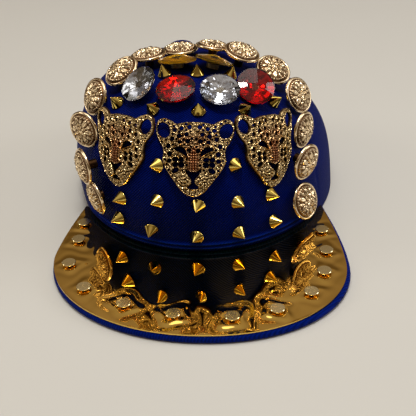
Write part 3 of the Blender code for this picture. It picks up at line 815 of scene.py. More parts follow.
@dataclass(frozen=True)
class Seat:
    """Where a round piece stands: its foot, its directions across, up and out, and its top's height."""

    foot: Array
    across: Array
    up: Array
    out: Array
    top: float

    @classmethod
    def of(cls, node: str) -> "Seat":
        """Find a round solid's seat from its points.

        Its axis is the principal direction whose spread differs from the other two, which are alike,
        turned away from the crown's middle. Across points to its widest corner.

        Args:
            node: The solid's name.

        Returns:
            The seat.
        """
        points = node_points(node)
        middle = points.mean(axis=0)
        spread, ways = np.linalg.eigh(np.cov((points - middle).T))
        out = ways[:, 0] if spread[1] - spread[0] > spread[2] - spread[1] else ways[:, 2]
        heart = np.array([0, FORM.forward, FORM.crown_height / 3])
        if out @ (middle - heart) < 0:
            out = -out
        heights = (points - middle) @ out
        flat = points - middle - heights[:, None] * out
        across = unit(flat[np.argmax(np.linalg.norm(flat, axis=1))])
        foot = middle + heights.min() * out
        return cls(foot, across, np.cross(out, across), out, float(((points - foot) @ out).max()))

    def place(self, local: Array) -> Array:
        """Points from the seat's own directions to the frame."""
        return self.foot + local @ np.stack([self.across, self.up, self.out])

    def body(self, local: Array, top: float, bottom: float = 0.0) -> Body:
        """The closed body through rings in the seat's own directions, with poles at two heights."""
        return ring_body(self.place(local), self.foot + self.out * bottom, self.foot + self.out * top)


def turned(profile: Marks, sides: int) -> Array:
    """Rings of a profile turned about its axis: radius times cosine and sine, and height.

    Args:
        profile: Radius and height, from the foot up, all radii above zero.
        sides: Points on each ring.

    Returns:
        Points by ring and side.
    """
    radius, height = np.array(profile, float).T
    turn = 2 * pi * np.arange(sides) / sides
    flat = radius[:, None, None] * np.stack([np.cos(turn), np.sin(turn)], axis=-1)
    return np.concatenate([flat, np.broadcast_to(height[:, None, None], (*flat.shape[:2], 1))], axis=-1)


@dataclass
class Turnings:
    """Round pieces of one kind, each turned from one profile; the map is their own plane across."""

    pieces: dict[str, str]
    slot: str
    finish: PlainFinish | TwillFinish
    profile: Marks
    top: float
    sides: int = 48

    def build(self) -> None:
        """Make each piece on its solid's seat."""
        material = self.finish.make()
        local = turned(self.profile, self.sides)
        uv = np.concatenate([local.reshape(-1, 3)[:, :2], np.zeros((2, 2))])
        for name, node in self.pieces.items():
            make_piece(name, node, Seat.of(node).body(local, self.top), [material], uv)


def spike_profile(radius: float = 0.0042, height: float = SPIKE_HEIGHT, lip: float = 0.0007) -> Marks:
    """A cone with a rolled lip at its foot and a slightly blunt tip."""
    rolled = [(0.92, 0.0), (0.98, 0.2), (1.0, 0.55), (0.97, 1.0), (0.95, 1.15)]
    shares = np.linspace(0.12, 0.97, 10)
    cone = ((radius * 0.95 * (1 - share), lip + (height - lip) * share) for share in shares)
    return (*((radius * wide, lip * tall) for wide, tall in rolled), *cone)


def domed_profile(radius: float, height: float, rim: Marks, wide: float, first: float, last: float) -> Marks:
    """A rim, then a dome of wide times the cosine and 0.3 + 0.7 times the sine of angles, as shares."""
    dome = [(wide * cos(turn), 0.3 + 0.7 * sin(turn)) for turn in np.linspace(first, last, 14)]
    return tuple((radius * across, height * up) for across, up in (*rim, *dome))


@dataclass
class Medallions:
    """Cast discs with a smooth raised rim round a rosette of leaves.

    Sizes across the face are shares of the radius, and heights are in metres. A kind of leaf is where
    it starts and ends, its half width, its height, and its turn as a share of the step between petals.
    A bead, the boss and the ground are a height and a half width, and the rim also has its middle
    between them. Ribs and veins are a depth as a share of the leaf's height, and how wide or dense.
    """

    finish: CastFinish
    count: int = 14
    radius: float = 0.0112
    height: float = 0.0036
    shank_radius: float = 0.0028
    petals: int = 6
    beads: int = 32
    bead_ring: float = 0.775
    bead: Span = (0.0009, 0.055)
    boss: Span = (0.0013, 0.135)
    ground: Span = (0.0024, 0.88)
    ground_lift: float = 0.0002
    rim: tuple[float, float, float] = (0.0010, 0.925, 0.075)
    rim_drop: float = 0.0002
    rim_start: float = 0.855
    midrib: Span = (0.38, 0.018)
    veins: Span = (0.16, 95)
    narrowest: float = 1e-4
    leaves: Marks = (
        (0.30, 0.73, 0.150, 0.0013, 0.0),
        (0.44, 0.73, 0.090, 0.0012, 0.5),
        (0.10, 0.42, 0.095, 0.0013, 0.5),
    )
    relief_share: float = 0.8
    edge: Span = (-0.0006, -0.0003)
    back: tuple[float, ...] = (0.35, 0.6, 0.94)
    back_drop: float = 0.0011
    shank_drop: float = 0.0012
    tarnish: Span = (0.00005, 0.0008)
    clean_rim: Span = (0.87, 0.1)
    columns: int = 120
    rows: int = 56

    def dome(self, radius: Array) -> Array:
        """The ground of the face: a quarter ellipse that rises from the groove inside the rim."""
        return self.ground_lift + self.ground[0] * mound(radius, self.ground[1])

    def relief(self, radius: Array, turn: Array) -> Array:
        """Height of the face by its share of the radius and its angle.

        The rim is a half-round ring; on the dome inside it lie a ring of beads, six long leaves with a
        midrib and veins, six short leaves between them, and a flower of six petals round a boss. Each
        leaf is a root of one minus its offset squared, and the highest form at a point shows.

        Args:
            radius: Shares of the radius.
            turn: Angles.

        Returns:
            Heights over the disc's middle.
        """
        bead_off = nearest(turn, 2 * pi / self.beads) * self.bead_ring
        heights = [self.bead[0] * mound(np.hypot(bead_off, radius - self.bead_ring), self.bead[1])]
        step = 2 * pi / self.petals
        for first, last, wide, tall, part in self.leaves:
            share = np.clip((radius - first) / (last - first), 0, 1)
            width = wide * np.sqrt(np.clip(np.sin(pi * share), 0, 1)) + self.narrowest
            off = np.abs(nearest(turn + part * step, step)) * radius
            midrib = self.midrib[0] * hump(off, self.midrib[1])
            veins = self.veins[0] * np.cos((radius + off) * self.veins[1]) * (off < width)
            leaf = tall * mound(off, width) * (1 - midrib - veins)
            heights.append(np.where((share > 0) & (share < 1), leaf, 0))
        heights.append(self.boss[0] * mound(radius, self.boss[1]))
        cast = self.dome(radius) + self.relief_share * np.maximum.reduce(np.broadcast_arrays(*heights))
        tall, middle, wide = self.rim
        return np.where(radius > self.rim_start, tall * mound(radius - middle, wide) - self.rim_drop, cast)

    def build(self) -> None:
        """Make each medallion: shank, back, edge and face in rings from the foot up."""
        material = self.finish.make()
        share = np.concatenate([[1.0, 1.0, 0.99], np.linspace(0.985, 0.02, self.rows)])
        face = self.relief(share[:, None], 2 * pi * np.arange(self.columns) / self.columns)
        face[0], face[1] = self.edge
        # The shank and back get the darkest plating and the full grey tint: painted shade under each disc.
        shaded_back = np.ones((2 + len(self.back), self.columns))
        recess = 1 - ease(*self.tarnish, face - self.dome(share[:, None]))
        recess[share > self.clean_rim[0]] = self.clean_rim[1]
        marks = {
            "recess": with_poles(np.concatenate([shaded_back, recess]), 1, 0),
            "blush_and_shade": with_poles(np.concatenate([shaded_back, 0 * recess]), 1, 0),
        }
        for node in numbered("medallion", self.count):
            seat = Seat.of(node)
            stand = seat.top - self.height
            below = [(self.shank_radius, 0.0), (self.shank_radius, stand - self.shank_drop)]
            below += [(self.radius * part, stand - self.back_drop) for part in self.back]
            rings = turned([*below, *((self.radius * part, 0) for part in share)], self.columns)
            rings[len(below) :, :, 2] = stand + face
            body = seat.body(rings, seat.top)
            make_piece(f"{node}_cast", node, body, [material], marks=marks, sharp=60)


class StoneColour(Enum):
    """The stones' colours: the glass's tint, the foil's bright and dark tone and its roughness."""

    CLEAR = ((1.0, 1.0, 1.0), (0.90, 0.91, 0.94), (0.22, 0.23, 0.28), 0.04)
    RED = ((1.0, 0.26, 0.18), (0.74, 0.010, 0.005), (0.20, 0.003, 0.002), 0.10)
    AMBER = ((1.0, 0.88, 0.30), (1.0, 0.72, 0.03), (0.80, 0.45, 0.01), 0.38)


@dataclass
class Stones:
    """Round cut stones: faceted glass over crinkled foil, in plain cups.

    The top is a profile in shares of the radius and of the crown's height over the stone's stand. The
    girdle is a share of the crown's height. The foil ends foil_rim girdles below the stand, and faces
    whose middle is less than glass_rim girdles below it are glass.
    """

    cup: PlainFinish
    radius: float = 0.0116
    crown: float = 0.0034
    top: Marks = ((1.0, -0.16), (1.0, 0.20), (0.50, 0.66), (0.04, 0.99))
    girdle: float = 0.16
    foil_rim: float = 1.3
    glass_rim: float = 1.15
    foil_radius: float = 0.97
    foil_power: float = 0.8
    foil_foot: float = 0.45
    setting: float = 0.0040
    setting_rise: float = 1.25
    facets: int = 16
    tiers: int = 6
    crinkle: float = 0.00010
    seed: int = 7

    def build(self) -> None:
        """Make the six stones, a pair of each colour."""
        metal = self.cup.make()
        random = np.random.default_rng(self.seed)
        for colour in StoneColour:
            word = colour.name.lower()
            tint, bright, dark, haze = colour.value
            foil = polished(f"{word}_foil", bright, dark, haze)
            materials = [glass(f"{word}_glass", tint).make(), foil.make(), metal]
            for side in ("left", "right"):
                self.one(f"crystal_{word}_{side}", materials, random)

    def one(self, node: str, materials: list[Material], random: np.random.Generator) -> None:
        """Make one stone: a stem, a foiled cup of small facets set askew, and a top of long facets.

        A ring of the top has its corners at even places and the middles of its sides at odd ones; the
        foil's rings have them the other way round, so that its facets lie across those of the top.

        Args:
            node: The solid's name.
            materials: The glass, the foil and the cup's metal.
            random: Sets the foil's facets askew.
        """
        seat = Seat.of(node)
        stand = seat.top - self.crown
        deep = stand * self.foil_foot
        girdle = self.crown * self.girdle
        rim = stand - girdle * self.foil_rim
        foil = [
            (self.radius * self.foil_radius * share, deep + (rim - deep) * share**self.foil_power)
            for share in np.linspace(0.10, 1.0, self.tiers)
        ]
        top = [(self.radius * wide, stand + self.crown * tall) for wide, tall in self.top]
        columns = 2 * self.facets
        rings = turned([*foil, *top], columns)
        middle = np.arange(columns) % 2 == 1
        rings[: self.tiers, ~middle, :2] *= cos(pi / self.facets)
        rings[self.tiers :, middle, :2] *= cos(pi / self.facets)
        rings[: self.tiers - 1] += random.normal(0, self.crinkle, rings[: self.tiers - 1].shape)
        rise = deep * self.setting_rise
        stem = seat.body(turned([(self.setting, 0.0), (self.setting, rise)], columns), rise)
        points, faces = seat.body(rings, seat.top, deep)
        groups = [np.concatenate([group, more + len(points)]) for group, more in zip(faces, stem[1])]
        body = (np.concatenate([points, stem[0]]), groups)
        polygons = make_piece(f"{node}_cut", node, body, materials, sharp=2).data.polygons
        centres = np.zeros(len(polygons) * 3)
        polygons.foreach_get("center", centres)
        level = (centres.reshape(-1, 3) - seat.foot) @ seat.out
        glass_slot, foil_slot, metal_slot = range(3)
        slots = np.where(level > stand - girdle * self.glass_rim, glass_slot, foil_slot)
        slots[len(faces[0]) : len(groups[0])] = metal_slot
        slots[-2 * columns :] = metal_slot
        polygons.foreach_set("material_index", slots.astype(np.int32))


@dataclass(frozen=True)
class HeadPlace:
    """Where a head sits on the crown, and how it tips up, round and about its own axis, in degrees."""

    side: str
    bearing: float
    climb: float
    nod: float
    swing: float
    roll: float

    def axes(self) -> Array:
        """The head's directions across, up and out.

        Out starts as the crown's own direction, leans by the tangents of nod and swing, and the other
        two are then turned about it by roll.
        """
        out = FORM.normal(self.bearing, self.climb)
        across, up = self.level(out)
        out = unit(out + up * tan(radians(self.nod)) + across * tan(radians(self.swing)))
        across, up = self.level(out)
        roll = radians(self.roll)
        return np.stack([across * cos(roll) + up * sin(roll), up * cos(roll) - across * sin(roll), out])

    @staticmethod
    def level(out: Array) -> tuple[Array, Array]:
        """Directions across and up a surface that faces out."""
        across = unit(np.cross(np.array([0.0, 0.0, 1.0]), out))
        return across, np.cross(out, across)


def smooth_loop(marks: Marks, steps: int) -> Array:
    """A closed curve through marks: Catmull-Rom cubics, each between two marks.

    Args:
        marks: The points that it passes.
        steps: Points on each stretch.

    Returns:
        The curve's points.
    """
    knots = np.array(marks)
    before, after, later = (np.roll(knots, shift, axis=0) for shift in (1, -1, -2))
    t = np.linspace(0, 1, steps, endpoint=False)[None, :, None]
    start, lead = knots[:, None], (after - before)[:, None] / 2
    end, trail = after[:, None], (later - knots)[:, None] / 2
    curve = (2 * t**3 - 3 * t**2 + 1) * start + (t**3 - 2 * t**2 + t) * lead
    curve = curve + (3 * t**2 - 2 * t**3) * end + (t**3 - t**2) * trail
    return curve.reshape(-1, 2)


def loop_distance(points: Array, loop: Array) -> Array:
    """Distance to a closed loop, above zero inside it.

    Each point's distance is its least to any side, and it is inside where the level line to its right
    crosses an odd number of sides.

    Args:
        points: Points in a plane.
        loop: The loop's corners.

    Returns:
        Signed distances.
    """
    least = np.full(len(points), np.inf)
    crossings = np.zeros(len(points), int)
    for start, end in zip(loop, np.roll(loop, -1, axis=0)):
        side = end - start
        share = np.clip((points - start) @ side / (side @ side), 0, 1)
        least = np.minimum(least, np.linalg.norm(points - start - share[:, None] * side, axis=1))
        spans = (start[1] > points[:, 1]) != (end[1] > points[:, 1])
        rise = side[1] if side[1] != 0 else 1.0
        meets = start[0] + side[0] * (points[:, 1] - start[1]) / rise
        crossings += spans & (points[:, 0] < meets)
    return np.where(crossings % 2 == 1, least, -least)


MARCH = {
    1: [(0, 4, 7)],
    2: [(1, 5, 4)],
    3: [(0, 1, 5, 7)],
    4: [(2, 6, 5)],
    5: [(0, 4, 7), (2, 6, 5)],
    6: [(1, 2, 6, 4)],
    7: [(0, 1, 2, 6, 7)],
    8: [(3, 7, 6)],
    9: [(0, 4, 6, 3)],
    10: [(1, 5, 4), (3, 7, 6)],
    11: [(0, 1, 5, 6, 3)],
    12: [(2, 3, 7, 5)],
    13: [(0, 4, 5, 2, 3)],
    14: [(1, 2, 3, 7, 4)],
    15: [(0, 1, 2, 3)],
}


def cut_points(first: Array, last: Array, start: Array, end: Array) -> Array:
    """Where the sides of cells, from start to end, cross zero, by their values first and last."""
    gap = np.where(first == last, 1.0, first - last)
    share = np.clip(first / gap, 0.02, 0.98)
    return (start + (end - start) * share[..., None]).reshape(-1, 2)


def cut_grid(across: Array, up: Array, inside: Array) -> tuple[Array, list[Indices], Indices]:
    """The part of a plane grid where a value is above zero, cut cleanly along its zero line.

    Each cell is one of sixteen cases by which corners are inside. Cut points lie on cell sides, where
    the value, taken as straight between corners, is zero.

    Args:
        across: The columns' places.
        up: The rows' places.
        inside: The value at each row and column.

    Returns:
        Plane points, faces by count of corners, and the pairs of points along the cut.
    """
    rows, columns = inside.shape
    grid = np.stack(np.meshgrid(across, up), axis=-1)
    level = cut_points(inside[:, :-1], inside[:, 1:], grid[:, :-1], grid[:, 1:])
    steep = cut_points(inside[:-1], inside[1:], grid[:-1], grid[1:])
    points = np.concatenate([grid.reshape(-1, 2), level, steep])
    count = rows * columns
    index = np.arange(count).reshape(rows, columns)
    level_index = count + np.arange(len(level)).reshape(rows, columns - 1)
    steep_index = count + len(level) + np.arange(len(steep)).reshape(rows - 1, columns)
    solid = inside > 0
    corners, solids = (
        np.stack([part[:-1, :-1], part[:-1, 1:], part[1:, 1:], part[1:, :-1]], axis=-1).reshape(-1, 4)
        for part in (index, solid)
    )
    sides = [level_index[:-1], steep_index[:, 1:], level_index[1:], steep_index[:, :-1]]
    corners = np.concatenate([corners, np.stack([side.ravel() for side in sides], axis=-1)], axis=1)
    case = solids @ (1, 2, 4, 8)
    found: dict[int, list[Indices]] = {3: [], 4: [], 5: []}
    edges = []
    for number, shapes in MARCH.items():
        cells = corners[case == number]
        for shape in shapes:
            found[len(shape)].append(cells[:, shape])
            pairs = zip(shape, (*shape[1:], shape[0]))
            edges += [cells[:, pair] for pair in pairs if min(pair) >= 4]
    faces = [np.concatenate(group) for group in found.values()]
    used = np.unique(np.concatenate([group.ravel() for group in faces]))
    renumber = np.zeros(len(points), np.int64)
    renumber[used] = np.arange(len(used))
    return points[used], [renumber[group] for group in faces], renumber[np.concatenate(edges)]


@dataclass
class LeopardHeads:
    """Three pierced cast heads, drawn as a plane shape with openings and raised by a relief.

    Marks are shares of the half width and half height. A hole is an oval's middle, its half sizes, and
    its lean in degrees where it has one; the first is the ear's. A rim is its height, its distance from
    the edge and its width. The ridge, muzzle, brow and eyelid are smooth ovals: where they lie, then
    their half sizes. A pair of spans is where a strip of the face fades in and out.
    """

    finish: CastFinish
    width: float = 0.0440
    height: float = 0.0440
    metal: float = 0.0016
    dome: float = 0.0030
    nose: float = 0.0022
    bend_radius: float = 0.110
    dome_span: float = 1.12
    step: float = 0.00027
    seed: int = 11
    spot_gap: float = 0.0007
    spot_pitch: float = 0.0026
    spot_share: float = 0.215
    spot_sizes: Span = (0.55, 1.0)
    bridge_width: float = 0.0034
    bridge_top: float = 0.0045
    muzzle_top: float = -0.0075
    middle_strip: float = 0.0012
    rim: tuple[float, float, float] = (0.00055, 0.00042, 0.00028)
    bead_pitch: float = 0.00105
    bead_height: float = 0.00060
    bead_net: int = 64
    bead_radius: float = 0.52
    bead_jitter: Span = (0.15, 0.85)
    bead_start: Span = (0.0002, 0.0006)
    bridge_pitch: float = 0.064
    bridge_radius: float = 0.46
    bridge_half: float = 0.13
    bridge_strip: tuple[Span, Span] = ((-0.36, -0.30), (0.10, 0.18))
    groove_pitch: float = 0.085
    groove_depth: float = 0.00025
    groove_slant: float = 0.30
    groove_sway: Span = (0.02, 40)
    groove_start: float = 0.0004
    groove_side: Span = (0.08, 0.14)
    groove_strip: tuple[Span, Span] = ((-0.88, -0.80), (-0.48, -0.42))
    ridge: tuple[float, float, float] = (-0.12, 0.16, 0.34)
    muzzle: tuple[float, float, float] = (-0.56, 0.34, 0.20)
    muzzle_share: float = 0.8
    brow: tuple[float, float, float, float] = (0.18, 0.44, 0.26, 0.20)
    brow_share: float = 0.75
    eyelid: tuple[float, float, float, float] = (0.34, 0.15, 0.24, 0.17)
    eyelid_rise: float = 1.2
    red_half: float = 0.20
    red_strip: tuple[Span, Span] = ((-0.42, -0.30), (0.16, 0.34))
    least_red: float = 0.70
    tarnish: Span = (0.00012, 0.00066)
    chamfer: Span = (0.0004, 0.0002)
    places: tuple[HeadPlace, ...] = (
        HeadPlace("left", -29.8, 38.5, -10, 0, 7),
        HeadPlace("middle", 4.9, 38.2, 0, -6, -1.5),
        HeadPlace("right", 38.4, 36, -13, -1, -11.5),
    )
    half_outline: Marks = (
        (0.21, 0.89), (0.46, 0.85), (0.58, 0.92), (0.78, 0.99), (0.94, 0.93), (1.00, 0.77),
        (0.98, 0.58), (0.90, 0.39), (0.81, 0.24), (0.79, 0.08), (0.81, -0.06), (0.76, -0.22),
        (0.65, -0.40), (0.51, -0.59), (0.375, -0.77), (0.22, -0.92),
    )
    eye: Marks = ((0.17, 0.03), (0.29, 0.10), (0.48, 0.19), (0.42, 0.25), (0.32, 0.25), (0.22, 0.17))
    half_mouth: Marks = ((0.20, -0.31), (0.12, -0.46), (0.045, -0.56), (0.045, -0.66), (0.14, -0.76))
    holes: Marks = (
        (0.79, 0.68, 0.150, 0.195, 28), (0.13, 0.76, 0.050, 0.045), (0.33, 0.72, 0.045, 0.045),
        (0.50, 0.68, 0.050, 0.040), (0.20, 0.57, 0.045, 0.045), (0.38, 0.53, 0.050, 0.045),
        (0.56, 0.46, 0.045, 0.050), (0.16, 0.40, 0.050, 0.050), (0.36, 0.38, 0.045, 0.035),
        (0.65, 0.28, 0.045, 0.055), (0.11, 0.16, 0.045, 0.050), (0.61, 0.08, 0.050, 0.055),
        (0.315, -0.065, 0.062, 0.052), (0.465, -0.055, 0.062, 0.052), (0.305, -0.195, 0.066, 0.062),
        (0.465, -0.185, 0.062, 0.056, 20), (0.62, -0.09, 0.050, 0.045), (0.46, -0.335, 0.085, 0.052, 25),
    )

    @cached_property
    def half(self) -> Array:
        """The half width and half height."""
        return np.array([self.width, self.height]) / 2

    def mirrored(self, marks: Marks, top: float, bottom: float) -> Marks:
        """A closed loop from a right half, its mirror image and two points on the middle line."""
        return ((0.0, top), *marks, (0.0, bottom), *((-across, up) for across, up in reversed(marks)))

    def oval(self, points: Array, hole: tuple[float, ...], side: int) -> Array:
        """Distance outside an oval: k (k - 1) / g, k and g the lengths of p/r and p/r squared.

        Args:
            points: Points in metres.
            hole: The opening.
            side: 1 for the right one, -1 for its mirror image.

        Returns:
            Distances, below zero inside the opening.
        """
        middle, radii = self.half * hole[:2], self.half * hole[2:4]
        lean = radians(sum(hole[4:]))
        off = (points * [side, 1] - middle) @ np.array([[cos(lean), sin(lean)], [-sin(lean), cos(lean)]])
        near, slope = (np.linalg.norm(off / radii**power, axis=-1) + TINY for power in (1, 2))
        return near * (near - 1) / slope

    def base(self, points: Array) -> Array:
        """The back's height: a dome, a nose ridge and a muzzle, less the bend round the cap."""
        across, up = (points / self.half).T
        dome = self.dome * np.clip(1 - (across**2 + up**2) / self.dome_span**2, 0, None)
        ridge, muzzle = (blob(across, up - part[0], *part[1:]) for part in (self.ridge, self.muzzle))
        muzzle = self.muzzle_share * muzzle
        return dome + self.nose * np.maximum(ridge, muzzle) - points[:, 0] ** 2 / (2 * self.bend_radius)

    def extra_spots(self, points: Array, inside: Array) -> list[Array]:
        """Centres of more small openings, from a jittered net kept clear of every edge.

        Args:
            points: The grid's points.
            inside: Their distance to the nearest edge.

        Returns:
            Centres, on the right half only.
        """
        random = np.random.default_rng(self.seed)
        kept: list[Array] = []
        room = self.spot_pitch * self.spot_share + self.spot_gap
        for place in random.permutation(np.flatnonzero(inside > room)):
            across, up = points[place]
            bridge = abs(across) < self.bridge_width and up < self.bridge_top
            close = any(np.linalg.norm(points[place] - other) < self.spot_pitch for other in kept)
            if across > self.middle_strip and up >= self.muzzle_top and not bridge and not close:
                kept.append(points[place])
        return kept

    def drawing(self) -> tuple[Array, list[Indices], Indices, Array, Array]:
        """The plane shape of a head, with the height of its front over its back.

        Returns:
            Points, faces, edge pairs, heights of the front over the back, and how recessed each is.
        """
        across, up = (np.arange(-half - self.step, half + 2 * self.step, self.step) for half in self.half)
        points = np.stack(np.meshgrid(across, up), axis=-1).reshape(-1, 2)
        outline = smooth_loop(self.mirrored(self.half_outline, 0.89, -1.0), 6)
        mouth = smooth_loop(self.mirrored(self.half_mouth, -0.39, -0.79), 5)
        edges = [loop_distance(points, outline * self.half), -loop_distance(points, mouth * self.half)]
        for side in (-1, 1):
            eye = smooth_loop([(side * a, b) for a, b in self.eye], 5)
            edges.append(-loop_distance(points, eye * self.half))
            edges += [self.oval(points, hole, side) for hole in self.holes]
        inside = np.minimum.reduce(edges)
        random = np.random.default_rng(self.seed)
        for centre in self.extra_spots(points, inside):
            spot = self.spot_pitch * self.spot_share * random.uniform(*self.spot_sizes)
            for side in (-1, 1):
                inside = np.minimum(inside, np.linalg.norm(points - centre * [side, 1], axis=1) - spot)
        plane, faces, edges = cut_grid(across, up, inside.reshape(len(up), len(across)))
        column, row = (
            np.clip(((plane[:, axis] - line[0]) / self.step).round().astype(int), 0, len(line) - 1)
            for axis, line in enumerate((across, up))
        )
        near = np.maximum(inside[row * len(across) + column], 0.0)
        near[np.unique(edges)] = 0.0
        return plane, faces, edges, *self.detail(plane, near)

    def blush_and_shade(self, plane: Array) -> Array:
        """How reddened each point is: smooth bumps along the nose and over the brow."""
        across, up = (plane / self.half).T
        nose = hump(across, self.red_half) * band(up, *self.red_strip)
        aside, height, wide, tall = self.brow
        brow = self.brow_share * blob(np.abs(across) - aside, up - height, wide, tall)
        return np.clip(nose + brow, 0, 1)

    def beads(self, plane: Array) -> Array:
        """Half balls of height one about jittered centres, the highest at each point.

        Args:
            plane: Points of the cut shape.

        Returns:
            Heights.
        """
        net = self.bead_net
        jitter = np.random.default_rng(self.seed).uniform(*self.bead_jitter, (net, net, 2))
        cell = np.floor(plane / self.bead_pitch).astype(int)
        height = np.zeros(len(plane))
        for aside in ((i, j) for i in (-1, 0, 1) for j in (-1, 0, 1)):
            other = cell + aside
            centre = (other + jitter[other[:, 0] % net, other[:, 1] % net]) * self.bead_pitch
            off = np.linalg.norm(plane - centre, axis=1)
            height = np.maximum(height, mound(off, self.bead_radius * self.bead_pitch))
        return height

    def detail(self, plane: Array, near: Array) -> tuple[Array, Array]:
        """The cast detail: a thin rim along each edge, beads between, and lines on the muzzle.

        The rim is a smooth bump of the distance to the edge, higher round the eyes; the nose's beads
        stand in rows; the muzzle's lines are a cosine across it.

        Args:
            plane: Points of the cut shape.
            near: Their distance to the nearest edge.

        Returns:
            Heights of the front over the back, and how recessed each point is.
        """
        across, up = (plane / self.half).T
        beside = np.abs(across)
        aside, height, *lid = self.eyelid
        tall, middle, width = self.rim
        lids = 1 + self.eyelid_rise * blob(beside - aside, up - height, *lid)
        rim = tall * hump(near - middle, width) * lids
        on_nose = band(up, *self.bridge_strip) * (beside < self.bridge_half)
        offs = [nearest(part, self.bridge_pitch) / self.bridge_pitch for part in (across, up)]
        bridge = self.bead_height * mound(np.hypot(*offs), self.bridge_radius) * on_nose
        bead = self.bead_height * self.beads(plane) * ease(*self.bead_start, near) * (on_nose <= 0.5)
        sway, pace = self.groove_sway
        bent = up - self.groove_slant * beside + sway * np.sin(across * pace)
        muzzle = ease(*self.groove_side, beside) * band(up, *self.groove_strip) * (near > self.groove_start)
        grooves = self.groove_depth * np.cos(bent * 2 * pi / self.groove_pitch) * muzzle
        detail = rim + np.maximum(bead, bridge) + grooves
        front = self.metal + detail - self.chamfer[0] * hump(near, self.chamfer[1])
        return front, 1 - ease(*self.tarnish, detail)

    def build(self) -> None:
        """Make the heads: the same shape three times, each on its solid."""
        material = self.finish.make()
        plane, faces, edges, height, recess = self.drawing()
        back = np.column_stack([plane, self.base(plane)])
        front = back + np.column_stack([np.zeros_like(plane), height])
        count = len(plane)
        lowest = self.base(self.half_outline * self.half).min()
        groups = [np.concatenate([group[:, ::-1], count + group]) for group in faces]
        groups[1] = np.concatenate([groups[1], np.column_stack([edges, count + edges[:, ::-1]])])
        # The back, which faces the cloth, gets the darkest plating: painted shade behind the head and down
        # the walls of its openings.
        recess = np.concatenate([np.ones(count), recess])
        share = self.least_red + (1 - self.least_red) * recess
        marks = {"recess": recess, "blush_and_shade": np.tile(self.blush_and_shade(plane), 2) * share}
        for place in self.places:
            node = f"leopard_head_{place.side}"
            axes = place.axes()
            shift = (node_points(node) @ axes.T).min(axis=0) + [*self.half, -lowest]
            body = ((np.concatenate([back, front]) + shift) @ axes, groups)
            make_piece(f"{node}_cast", node, body, [material], marks=marks, sharp=55)


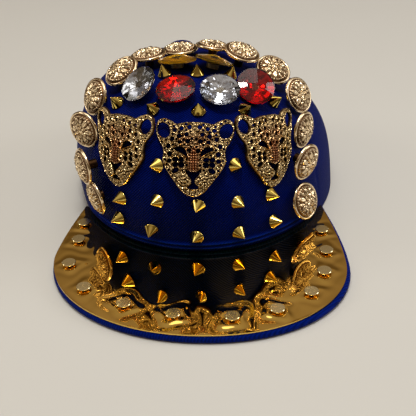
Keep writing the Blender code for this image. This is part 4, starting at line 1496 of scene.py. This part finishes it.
@dataclass
class Studio:
    """The pale table, the soft lights and the photograph's camera.

    A lamp is its place, the side of its square, its power and its colour. The room's light is a colour
    at each share of the way from straight down to straight up.
    """

    camera_place: tuple[float, float, float] = (0.0273, -0.4864, 0.2678)
    yaw: float = -3.26
    pitch: float = 31.14
    roll: float = -1.925
    focal_pixels: float = 798.76
    sensor: float = 36.0
    table_size: float = 6.0
    table_colour: Colour = (0.665, 0.652, 0.615)
    target: tuple[float, float, float] = (0, 0, 0.03)
    room: dict[float, Colour] = field(
        default_factory=lambda: {
            0.0: (0.10, 0.08, 0.05),
            0.50: (0.14, 0.10, 0.06),
            0.62: (0.34, 0.27, 0.22),
            1.0: (0.62, 0.59, 0.54),
        }
    )
    room_strength: float = 0.9
    lamps: dict[str, tuple[Colour, float, float, Colour]] = field(
        default_factory=lambda: {
            "key": ((0.02, -0.30, 1.30), 0.22, 6.0, (1.0, 0.97, 0.91)),
            "overhead": ((0.05, 0.25, 1.30), 0.9, 4.0, (1.0, 0.97, 0.91)),
            "right_window": ((1.10, 0.10, 0.60), 0.5, 3.0, (0.96, 0.98, 1.0)),
            "left_window": ((-1.10, 0.00, 0.70), 0.4, 2.0, (1.0, 0.96, 0.88)),
        }
    )

    def camera(self) -> None:
        """Set the camera: its own axes from yaw, pitch and roll."""
        yaw, pitch, roll = (radians(part) for part in (self.yaw, self.pitch, self.roll))
        ahead = Vector((sin(yaw) * cos(pitch), cos(yaw) * cos(pitch), -sin(pitch)))
        right = ahead.cross(Vector((0, 0, 1))).normalized()
        up = right.cross(ahead)
        turned_right = right * cos(roll) + up * sin(roll)
        turned_up = up * cos(roll) - right * sin(roll)
        data = bpy.data.cameras.new("photo_camera")
        data.sensor_width = self.sensor
        data.lens = self.sensor * self.focal_pixels / PHOTO_PIXELS
        matrix = Matrix((turned_right, turned_up, -ahead)).transposed().to_4x4()
        matrix.translation = Vector(self.camera_place) + Vector((0, FORM.forward, 0))
        camera = show("photo_camera", data)
        camera.matrix_world = matrix
        bpy.context.scene.camera = camera

    def table(self) -> None:
        """Lay the pale table, a faintly mottled matte sheet."""
        half = self.table_size / 2
        corners = [(x * half, y * half, 0) for x, y in ((-1, -1), (1, -1), (1, 1), (-1, 1))]
        mesh = bpy.data.meshes.new("table")
        mesh.from_pydata(corners, [], [range(len(corners))])
        worn_and_lit, matte = dimmed(self.table_colour, 0.97), {"Roughness": 0.65}
        finish = PlainFinish("pale_table", self.table_colour, worn_and_lit, (6, 3), constants=matte)
        mesh.materials.append(finish.make())
        show("table", mesh)

    def lights(self) -> None:
        """Hang square lamps that face the cap."""
        for name, (place, size, power, colour) in self.lamps.items():
            data = bpy.data.lights.new(name, "AREA")
            data.size, data.energy, data.color = size, power, colour
            lamp = show(name, data)
            lamp.location = place
            lamp.rotation_euler = (Vector(self.target) - Vector(place)).to_track_quat("-Z", "Y").to_euler()

    def world(self) -> None:
        """Fill the room with a soft light, darker low down and warm above."""
        nodes = Nodes(bpy.data.worlds.new("room"), "Background")
        place = nodes.add("TexCoord").outputs["Generated"]
        height = nodes.add("SeparateXYZ", {"Vector": place}).outputs["Z"]
        nodes.set(Color=nodes.ramp(height, self.room), Strength=self.room_strength)
        bpy.context.scene.world = nodes.block
        bpy.context.scene.view_settings.view_transform = "Standard"

    def build(self) -> None:
        """Set the camera, the table and the lights."""
        self.camera()
        self.table()
        self.world()
        self.lights()
        LOG.info("studio: camera, table and lamps")


def main() -> None:
    """Build the cap's pieces in order, over their solids."""
    logging.basicConfig(level=logging.INFO, format="%(message)s")
    Studio().build()
    rivets = numbered("rivet", RIVETS)
    Crown(TwillFinish()).build()
    Brim(TwillFinish(name="blue_twill_brim")).build()
    sheet = mirror("gold_mirror_sheet", (0.86, 0.55, 0.125))
    MirrorPlate(sheet, [Seat.of(node).foot for node in rivets]).build()
    Strap(plastic("blue_strap_plastic", (0.004, 0.012, 0.110))).build()
    button = domed_profile(0.0072, BUTTON_HEIGHT, ((0.97, 0.0), (1.0, 0.15)), 1.0, 0.05, 1.52)
    twill = TwillFinish(name="blue_twill_button")
    Turnings({"button_cover": "top_button"}, "blue_twill", twill, button, BUTTON_HEIGHT, 64).build()
    pale = polished("pale_rivet_metal", (1.0, 0.87, 0.50), (0.92, 0.76, 0.38), 0.16)
    rim = ((0.95, 0.0), (1.0, 0.12), (1.0, 0.26), (0.96, 0.38), (0.90, 0.38), (0.86, 0.34))
    rivet = domed_profile(0.0040, RIVET_HEIGHT, rim, 0.82, 0.12, 1.50)
    domes = {f"{node}_turned": node for node in rivets}
    Turnings(domes, "pale_rivet", pale, rivet, RIVET_HEIGHT).build()
    brass = polished("spike_brass", (0.86, 0.66, 0.18), (0.78, 0.55, 0.11), 0.08)
    cones = {f"{node}_turned": node for node in numbered("spike", SPIKES)}
    Turnings(cones, "brass", brass, spike_profile(), SPIKE_HEIGHT).build()
    rose = ("medallion_plating", (0.98, 0.77, 0.49), (0.16, 0.075, 0.030), 0.14)
    # The medallions' tint is a grey that darkens their backs and shanks: painted shade.
    Medallions(CastFinish(*rose, blush_and_shade=(0.25, 0.25, 0.25))).build()
    Stones(polished("cup_metal", (0.16, 0.13, 0.09), (0.10, 0.08, 0.06), 0.35)).build()
    LeopardHeads(CastFinish("head_plating", (0.80, 0.59, 0.29), (0.045, 0.019, 0.008), 0.15)).build()


if __name__ == "__main__":
    main()
